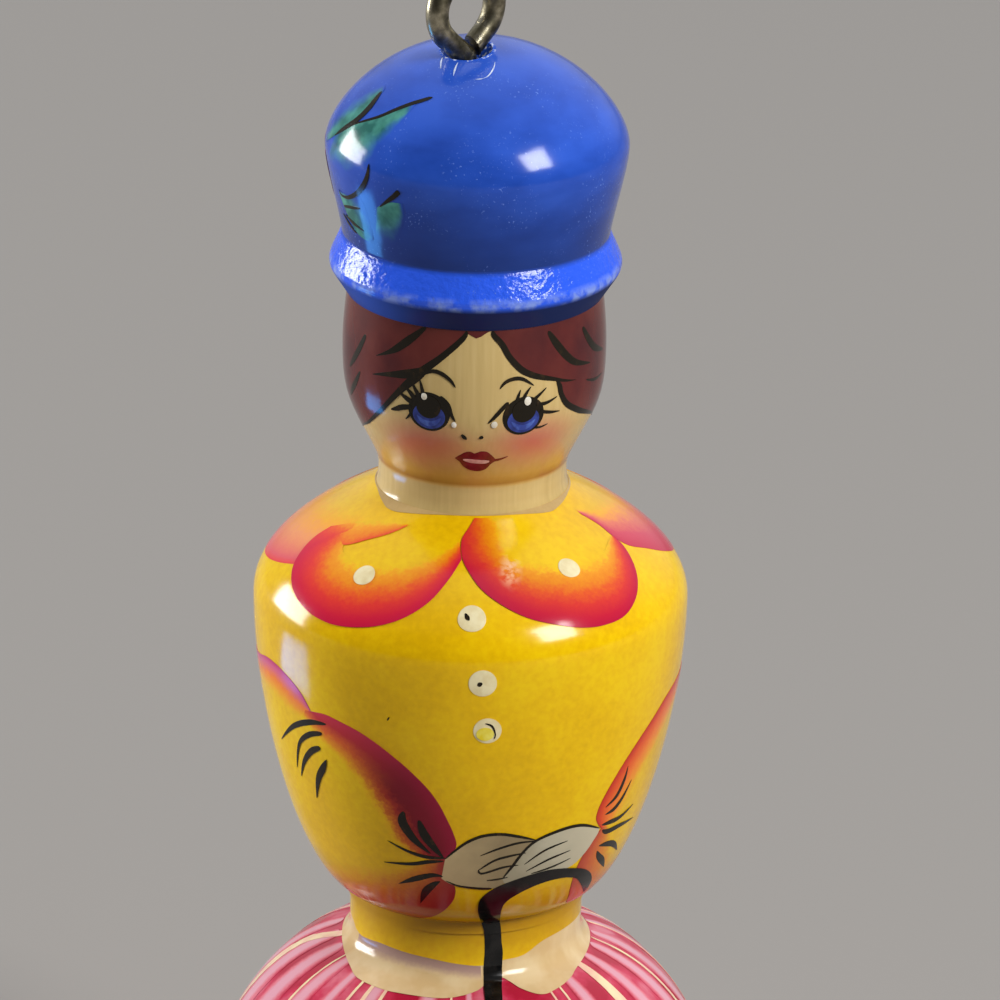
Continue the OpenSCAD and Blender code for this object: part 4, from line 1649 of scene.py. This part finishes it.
# %% Buttons and collar dots
BUTTON = 1.05
DOT = 0.86
DAB_DOME = 0.05
BUTTONS = [(0.7, 65.2), (3.7, 60.75), (5.2, 56.85)]
DOTS = [(-37, 66.75), (36.7, 67.35)]
BUTTON_INK = [
    [(-1.2, 65.5, 0.12), (-0.6, 65.25, 0.34), (0, 65.1, 0.1)],
    [(2.3, 60.65, 0.12), (2.9, 60.7, 0.36), (3.6, 60.8, 0.12)],
    [(4.6, 57.5, 0.08), (6.4, 57.25, 0.16), (7.3, 56.55, 0.1), (7, 56.2, 0.06)],
    [(-21.6, 57.15, 0.05), (-21.3, 57.3, 0.14), (-21.0, 57.45, 0.05)],
]
buttons = [spot("torso", *place, BUTTON, BUTTON, DAB_DOME) for place in BUTTONS]
dots = [spot("torso", *place, DOT, DOT, DAB_DOME) for place in DOTS]
paint("buttons", "torso", buttons, CREAM_FINISH, lift=0.04, grid=(36, 6))
paint("collar_dots", "torso", dots, CREAM_FINISH, lift=0.09, grid=(32, 6))
paint("button_ink", "torso", strokes("torso", BUTTON_INK), INK_FINISH, lift=0.11, grid=(16, 4))
WORN_FINISH = brushed("worn_yellow", (0.78, 0.6, 0.02), (0.86, 0.74, 0.12), scale=1400)
WORN_SPOT = (4.6, 56.6, 0.66, 0.55)
paint("button_worn", "torso", [spot("torso", *WORN_SPOT)], WORN_FINISH, lift=0.1, grid=(24, 4))

# %% [markdown]
# ## Pale lines round the eye
#
# Fine pale lines run over the crown round the eye. Real gaps would be far too thin to see as shapes, so
# they are very narrow strokes of a whitish paint.

# %% Pale lines round the eye
PALE_LINE_FINISH = brushed("pale_line_white", (0.35, 0.45, 0.75), (0.7, 0.76, 0.88), scale=2600)
EYE_PALE_LINES = [
    [(-48, 104.5, 0.05), (-42, 104.33, 0.12), (-36, 104.13, 0.04)],
    [(-24.3, 104.47, 0.05), (-22.5, 104.2, 0.14), (-20.7, 103.93, 0.04)],
    [(20.3, 104.53, 0.04), (14.7, 104.28, 0.1), (8.2, 104, 0.08), (4, 103.9, 0.04)],
    [(-2.2, 103.86, 0.04), (1, 103.87, 0.08), (4.2, 103.9, 0.04)],
]
paint("hat_pale_lines", "hat", strokes("hat", EYE_PALE_LINES), PALE_LINE_FINISH, lift=0.03, grid=(16, 3))

# %% [markdown]
# ## Leaves on the hat
#
# A spray of green leaves sits on the left of the hat. The green was brushed thinly over the blue, so it
# fades into the ground on one side, like the petals. Each leaf is a field from its crisp side to its lost
# side, and ink lines give stems and veins.

# %% Leaves
LEAF = (0.02, 0.13, 0.11)
LEAF_LIGHT = (0.075, 0.31, 0.25)
LEAF_LOST = (0.3, 0.95)
LEAVES = [
    ([(-62, 102.4), (-61.5, 101.3), (-64, 100.2), (-72.8, 98.7), (-82, 97.6)],
     [(-66, 102.6), (-72, 102.1), (-79, 101), (-84, 99.3), (-86, 97.7)]),
    ([(-74, 98.5), (-62.6, 100.05), (-50.9, 101.05), (-43.9, 101.65), (-35, 102.3)],
     [(-76, 96.6), (-61, 96.3), (-48, 97.6), (-41, 99.8), (-35.2, 102)]),
    ([(-69, 94.7), (-66.5, 93.7), (-62.5, 92.6), (-57, 91.8), (-49, 91.6)],
     [(-60, 94.8), (-53, 95.3), (-49.5, 94.8), (-47.5, 93.6), (-46.5, 92)]),
    ([(-42, 94.8), (-38, 95.3), (-34, 95.6), (-29, 95.7)],
     [(-46, 92), (-40, 91.8), (-34, 92.2), (-28.5, 94.6)]),
    ([(-104, 98.4), (-112, 100.2), (-121, 101.2), (-132, 101.3)],
     [(-104, 97.6), (-112, 97.8), (-121, 98.6), (-133, 101)]),
    ([(-108, 93), (-115, 94), (-123, 94.2), (-132, 93.6)],
     [(-108, 92.4), (-115, 91.4), (-123, 91.3), (-133, 93.2)]),
]


def leaf_paint(tree):
    """Thin green over blue, lost in the blue where the brush ran dry."""
    uneven = wander(tree, scale=800, amount=0.5, detail=4)
    factor = plus(tree, point_number(tree, "shade"), uneven)
    green = shades(tree, cloud(tree, 600, detail=3), [(0.38, LEAF), (0.62, LEAF_LIGHT)])
    return mix(tree, smooth_range(tree, factor, *LEAF_LOST), green, blue_paint(tree))


def leaf_shade(along, across):
    """Strongest along the crisp side, and lost at both ends."""
    return max(across, abs(2 * along - 1) ** 3)


LEAF_FINISH = lacquer("leaf_green", leaf_paint, stretch=EVEN)
leaves = [field(*leaf, leaf_shade, FADE_DEPTH) for leaf in LEAVES]
paint("hat_leaves", "hat", leaves, LEAF_FINISH, grid=(32, 12))

# %% Ink on the leaves
HAT_INK = [
    [(-27.2, 102.8, 0.36), (-36.5, 102.3, 0.34), (-43.9, 101.74, 0.3), (-50.9, 101.05, 0.26),
     (-62.6, 100.05, 0.14), (-70, 99, 0.05)],
    [(-62.8, 102.25, 0.3), (-61.2, 101.3, 0.55), (-63.2, 100.36, 0.55), (-68, 99.5, 0.45),
     (-73.5, 98.6, 0.12)],
    [(-45, 98.1, 0.12), (-45, 97.3, 0.34), (-47.3, 96.4, 0.42), (-52.6, 95.4, 0.38),
     (-59.9, 94.65, 0.28), (-66, 94.45, 0.15), (-68, 94.75, 0.06)],
    [(-30, 96.65, 0.42), (-33.5, 96.0, 0.36), (-40, 95.0, 0.1)],
    [(-65.8, 93.6, 0.2), (-58, 93.95, 0.26), (-52, 94.2, 0.1)],
    [(-66.6, 92.85, 0.15), (-60, 92.6, 0.32), (-52.4, 92.35, 0.1)],
    [(-69.7, 92.75, 0.1), (-64, 92.2, 0.26), (-58.8, 91.8, 0.08)],
]
paint("hat_ink", "hat", strokes("hat", HAT_INK), INK_FINISH, lift=0.045, grid=(28, 4))

# %% [markdown]
# ## Flower
#
# The leaves surround a pink flower that faces sideways. The front hardly shows it, so it is kept plain:
# five round dabs in a ring with a yellow heart, as such flowers are often painted. A loop places the dabs.

# %% Flower
FLOWER = (-97, 95)
PETAL_COUNT = 5
PETAL_OUT = 1.35
PETAL_HALF = 1.1
PETAL_START = 0.3
HEART = 0.85
HEART_DOME = 0.04
FLOWER_FINISH = brushed("flower_pink", (0.55, 0.08, 0.2), (0.75, 0.3, 0.4), scale=500)
flower = []
for index in range(PETAL_COUNT):
    turn = 2 * math.pi * index / PETAL_COUNT + PETAL_START
    step = math.radians(radius_at("hat", FLOWER[1]))
    angle = FLOWER[0] + math.cos(turn) * PETAL_OUT / step
    flower.append(spot("hat", angle, FLOWER[1] + math.sin(turn) * PETAL_OUT, PETAL_HALF, PETAL_HALF))
heart = [spot("hat", *FLOWER, HEART, HEART, HEART_DOME)]
paint("hat_flower", "hat", flower, FLOWER_FINISH, lift=0.05, grid=(28, 5))
paint("flower_heart", "hat", heart, YELLOW_FINISH, lift=0.065, grid=(24, 4))

# %% [markdown]
# ## Waist and cream edging
#
# Below the body comes a yellow waist, then a cream edging with a wavy hem, in which the waist leaves a
# mauve shadow. The bands could be zones of the skirt's material, but their edges are drawn lines. So each
# band is one field from -180 to 180 degrees, and the upper one is lifted over the lower one.

# %% Waist and cream edging
EDGING_TOP = 35.9
WAIST_EDGE = [
    (-180, 35.2), (-120, 35.4), (-81, 35.4), (-70, 34.9), (-63, 34.77), (-54, 34.95), (-45.4, 35.1),
    (-30, 35.04), (-16.5, 34.93), (-4, 34.7), (8, 34.55), (18.6, 34.85), (30, 35.0), (41, 35.7),
    (52, 35.9), (70, 35.9), (120, 35.6), (180, 35.2),
]
EDGING_EDGE = [
    (-180, 33.3), (-150, 33.45), (-120, 33.35), (-92, 33.47), (-80, 33.37), (-68, 33.17), (-57, 32.95),
    (-48, 32.72), (-34, 32.64), (-22, 32.68), (-7, 32.73), (5, 33.03), (9.7, 33.32), (14, 33.55),
    (18, 33.6), (21, 33.35), (25, 32.95), (32, 32.58), (39, 32.64), (49.4, 32.85), (58.5, 33.07),
    (79, 33.3), (100, 33.4), (130, 33.3), (155, 33.45), (180, 33.3),
]
MAUVE_EDGE = [(-66, 34.8), (-45, 35.1), (-30, 35.04), (-16.5, 34.93), (-4, 34.7), (8, 34.5)]
MAUVE_FADE = [(-66, 33.9), (-44, 33.75), (-29, 33.8), (-16, 33.75), (-4, 33.65), (8, 33.45)]
CREAM_DARK = (0.62, 0.43, 0.205)
CREAM_PALE = (0.71, 0.54, 0.3)
WAIST_GAP = 0.02
MAUVES = [(0.0, (0.36, 0.22, 0.19)), (0.45, (0.42, 0.27, 0.22)), (0.85, (0.62, 0.44, 0.26))]


def cream_paint(tree):
    """Cream, a little cloudy."""
    return shades(tree, cloud(tree, 400, BRUSHED, detail=3), [(0.38, CREAM_DARK), (0.62, CREAM_PALE)])


EDGING_FINISH = lacquer("cream_edging", cream_paint, scale=BRUSH_SCALE, stretch=EVEN)
MAUVE_FINISH = faded("edging_mauve", MAUVES, cream_paint)
edging = [field(EDGING_EDGE, [(angle, EDGING_TOP) for angle, _ in EDGING_EDGE])]
waist = [field(WAIST_EDGE, [(angle, WAIST_SEAM - WAIST_GAP) for angle, _ in WAIST_EDGE])]
paint("cream_edging", "skirt", edging, EDGING_FINISH, lift=0.06, grid=(240, 12))
paint("edging_shadow", "skirt", [field(MAUVE_EDGE, MAUVE_FADE)], MAUVE_FINISH, lift=0.068, grid=(48, 10))
paint("yellow_waist", "skirt", waist, YELLOW_FINISH, lift=0.08, grid=(240, 8))

# %% [markdown]
# ## Pleats
#
# Pale lines run down the skirt from the waves of the edging, like pleats: broad pink bands below and
# narrow cream lines on top. Carved pleats would change the outline, and the real ones are only paint.
# Those that the front shows are placed one by one. A loop with seeded random steps fills the rest of the
# ring, so every run gives the same skirt.

# %% Places of the pleats
FRONT_LINES = [
    (-66, 0.2), (-44, 0.25), (-38.5, 0.35), (-32, 0.3), (-5, 0.2), (36, 0.2), (41, 0.2), (60.5, 0.95),
    (88, 0.3),
]
FRONT_BANDS = [
    (-104, 2.2), (-90, 2.5), (-76, 2.4), (-62, 1.8), (-51, 1.2), (-36, 1.9), (-14, 1.9), (2, 0.8),
    (48, 1.5), (70, 1.6), (82, 1.7), (95, 1.8),
]
BACK_START = 108
BACK_END = 250
BAND_STEP = (12, 17)
BAND_WIDTHS = (1.2, 2.0)
LINE_WIDTHS = (0.25, 0.3, 0.5)
LINE_SHIFT = 4
SEED = 7
random.seed(SEED)
lines = list(FRONT_LINES)
bands = list(FRONT_BANDS)
angle = BACK_START
while angle < BACK_END:
    lines.append((angle + random.uniform(-LINE_SHIFT, LINE_SHIFT), random.choice(LINE_WIDTHS)))
    bands.append((angle, random.uniform(*BAND_WIDTHS)))
    angle += random.uniform(*BAND_STEP)
print("pleats:", len(bands), "bands and", len(lines), "lines")

# %% Pleats
PALE_PINK = (0.7, 0.33, 0.4)
PLEAT_PINKS = [(0.0, PALE_PINK), (0.3, PALE_PINK), (0.7, (0.68, 0.14, 0.19))]
PLEAT_TOP = 33.3
PLEAT_OPEN = 31.8
PLEAT_WIDE = 28
PLEAT_TIP = 0.05
BAND_ENDS = (8, 18)
LINE_ENDS = (6, 20)
LEFT_STRIPE = [
    (-84, 33.6, 0.7), (-90, 33, 0.8), (-94, 32.4, 0.9), (-96, 31.6, 1.0), (-97, 28, 1.1),
    (-97, 12, 0.1),
]


def pleats(places, low, high):
    """Lines down the skirt from under the edging, each to its own depth."""
    made = []
    for angle, width in places:
        end = random.uniform(low, high)
        sway = random.uniform(-1, 1)
        made.append(stroke("skirt", [
            (angle, PLEAT_TOP, width * 0.7),
            (angle, PLEAT_OPEN, width),
            (angle + sway, PLEAT_WIDE, width * 1.4),
            (angle + sway * 1.4, (PLEAT_WIDE + end) / 2, width * 1.3),
            (angle + sway * 1.2, end, PLEAT_TIP),
        ]))
    return made


BAND_FINISH = faded("pleat_pink", PLEAT_PINKS, red_paint)
PLEAT_FINISH = brushed("pleat_cream", (0.8, 0.5, 0.36), (0.86, 0.7, 0.42), scale=700)
paint("pink_pleats", "skirt", pleats(bands, *BAND_ENDS), BAND_FINISH, lift=0.022, grid=(56, 10))
cream_lines = pleats(lines, *LINE_ENDS) + [stroke("skirt", LEFT_STRIPE)]
paint("cream_pleats", "skirt", cream_lines, PLEAT_FINISH, lift=0.042, grid=(56, 4))

# %% [markdown]
# ## The wire eye and the dowels
#
# The eye's solid is already the real shape of the bent wire, so its CAD node stays and only gets a metal
# finish. The same goes for the dowels, which are plain beech and never seen. Dull plating is darker where
# dirt sits and bright where cords have rubbed, so noise moves both the colour and the roughness of the
# metal.

# %% Metal and beech
TARNISHED = (0.055, 0.048, 0.03)
DULL = (0.18, 0.16, 0.105)
RUBBED = (0.42, 0.38, 0.28)
WIRE_DENTS = 0.02


def eye_metal():
    """Dull plated wire with tarnish."""
    material, tree, shader = new_finish("eye_metal")
    shader.inputs["Coat Weight"].default_value = 0
    shader.inputs["Metallic"].default_value = 1
    tarnish = cloud(tree, 900, detail=5)
    colour = shades(tree, tarnish, [(0.35, TARNISHED), (0.5, DULL), (0.66, RUBBED)])
    tree.links.new(colour, shader.inputs["Base Color"])
    sockets = {"Value": tarnish, "From Min": 0.35, "From Max": 0.65, "To Min": 0.5, "To Max": 0.22}
    rough = add_node(tree, "ShaderNodeMapRange", sockets).outputs["Result"]
    tree.links.new(rough, shader.inputs["Roughness"])
    ripple(tree, shader, cloud(tree, 2200, detail=3), WIRE_DENTS)
    return material


def beech():
    """Plain dowel wood."""
    material, tree, shader = new_finish("dowel_beech", roughness=0.6)
    shader.inputs["Coat Weight"].default_value = 0
    tree.links.new(wood_colour(tree), shader.inputs["Base Color"])
    return material


def give_finish(node, material):
    """Puts a finish on a CAD node that stays."""
    slots = frame["nodes"][node].material_slots
    for slot in slots:
        slot.material = material
    if not slots:
        frame["nodes"][node].data.materials.append(material)
    print(node, "is finished as", material.name)


give_finish("screw_eye", eye_metal())
BEECH = beech()
for dowel in ("hat_dowel", "neck_dowel", "waist_dowel"):
    give_finish(dowel, BEECH)
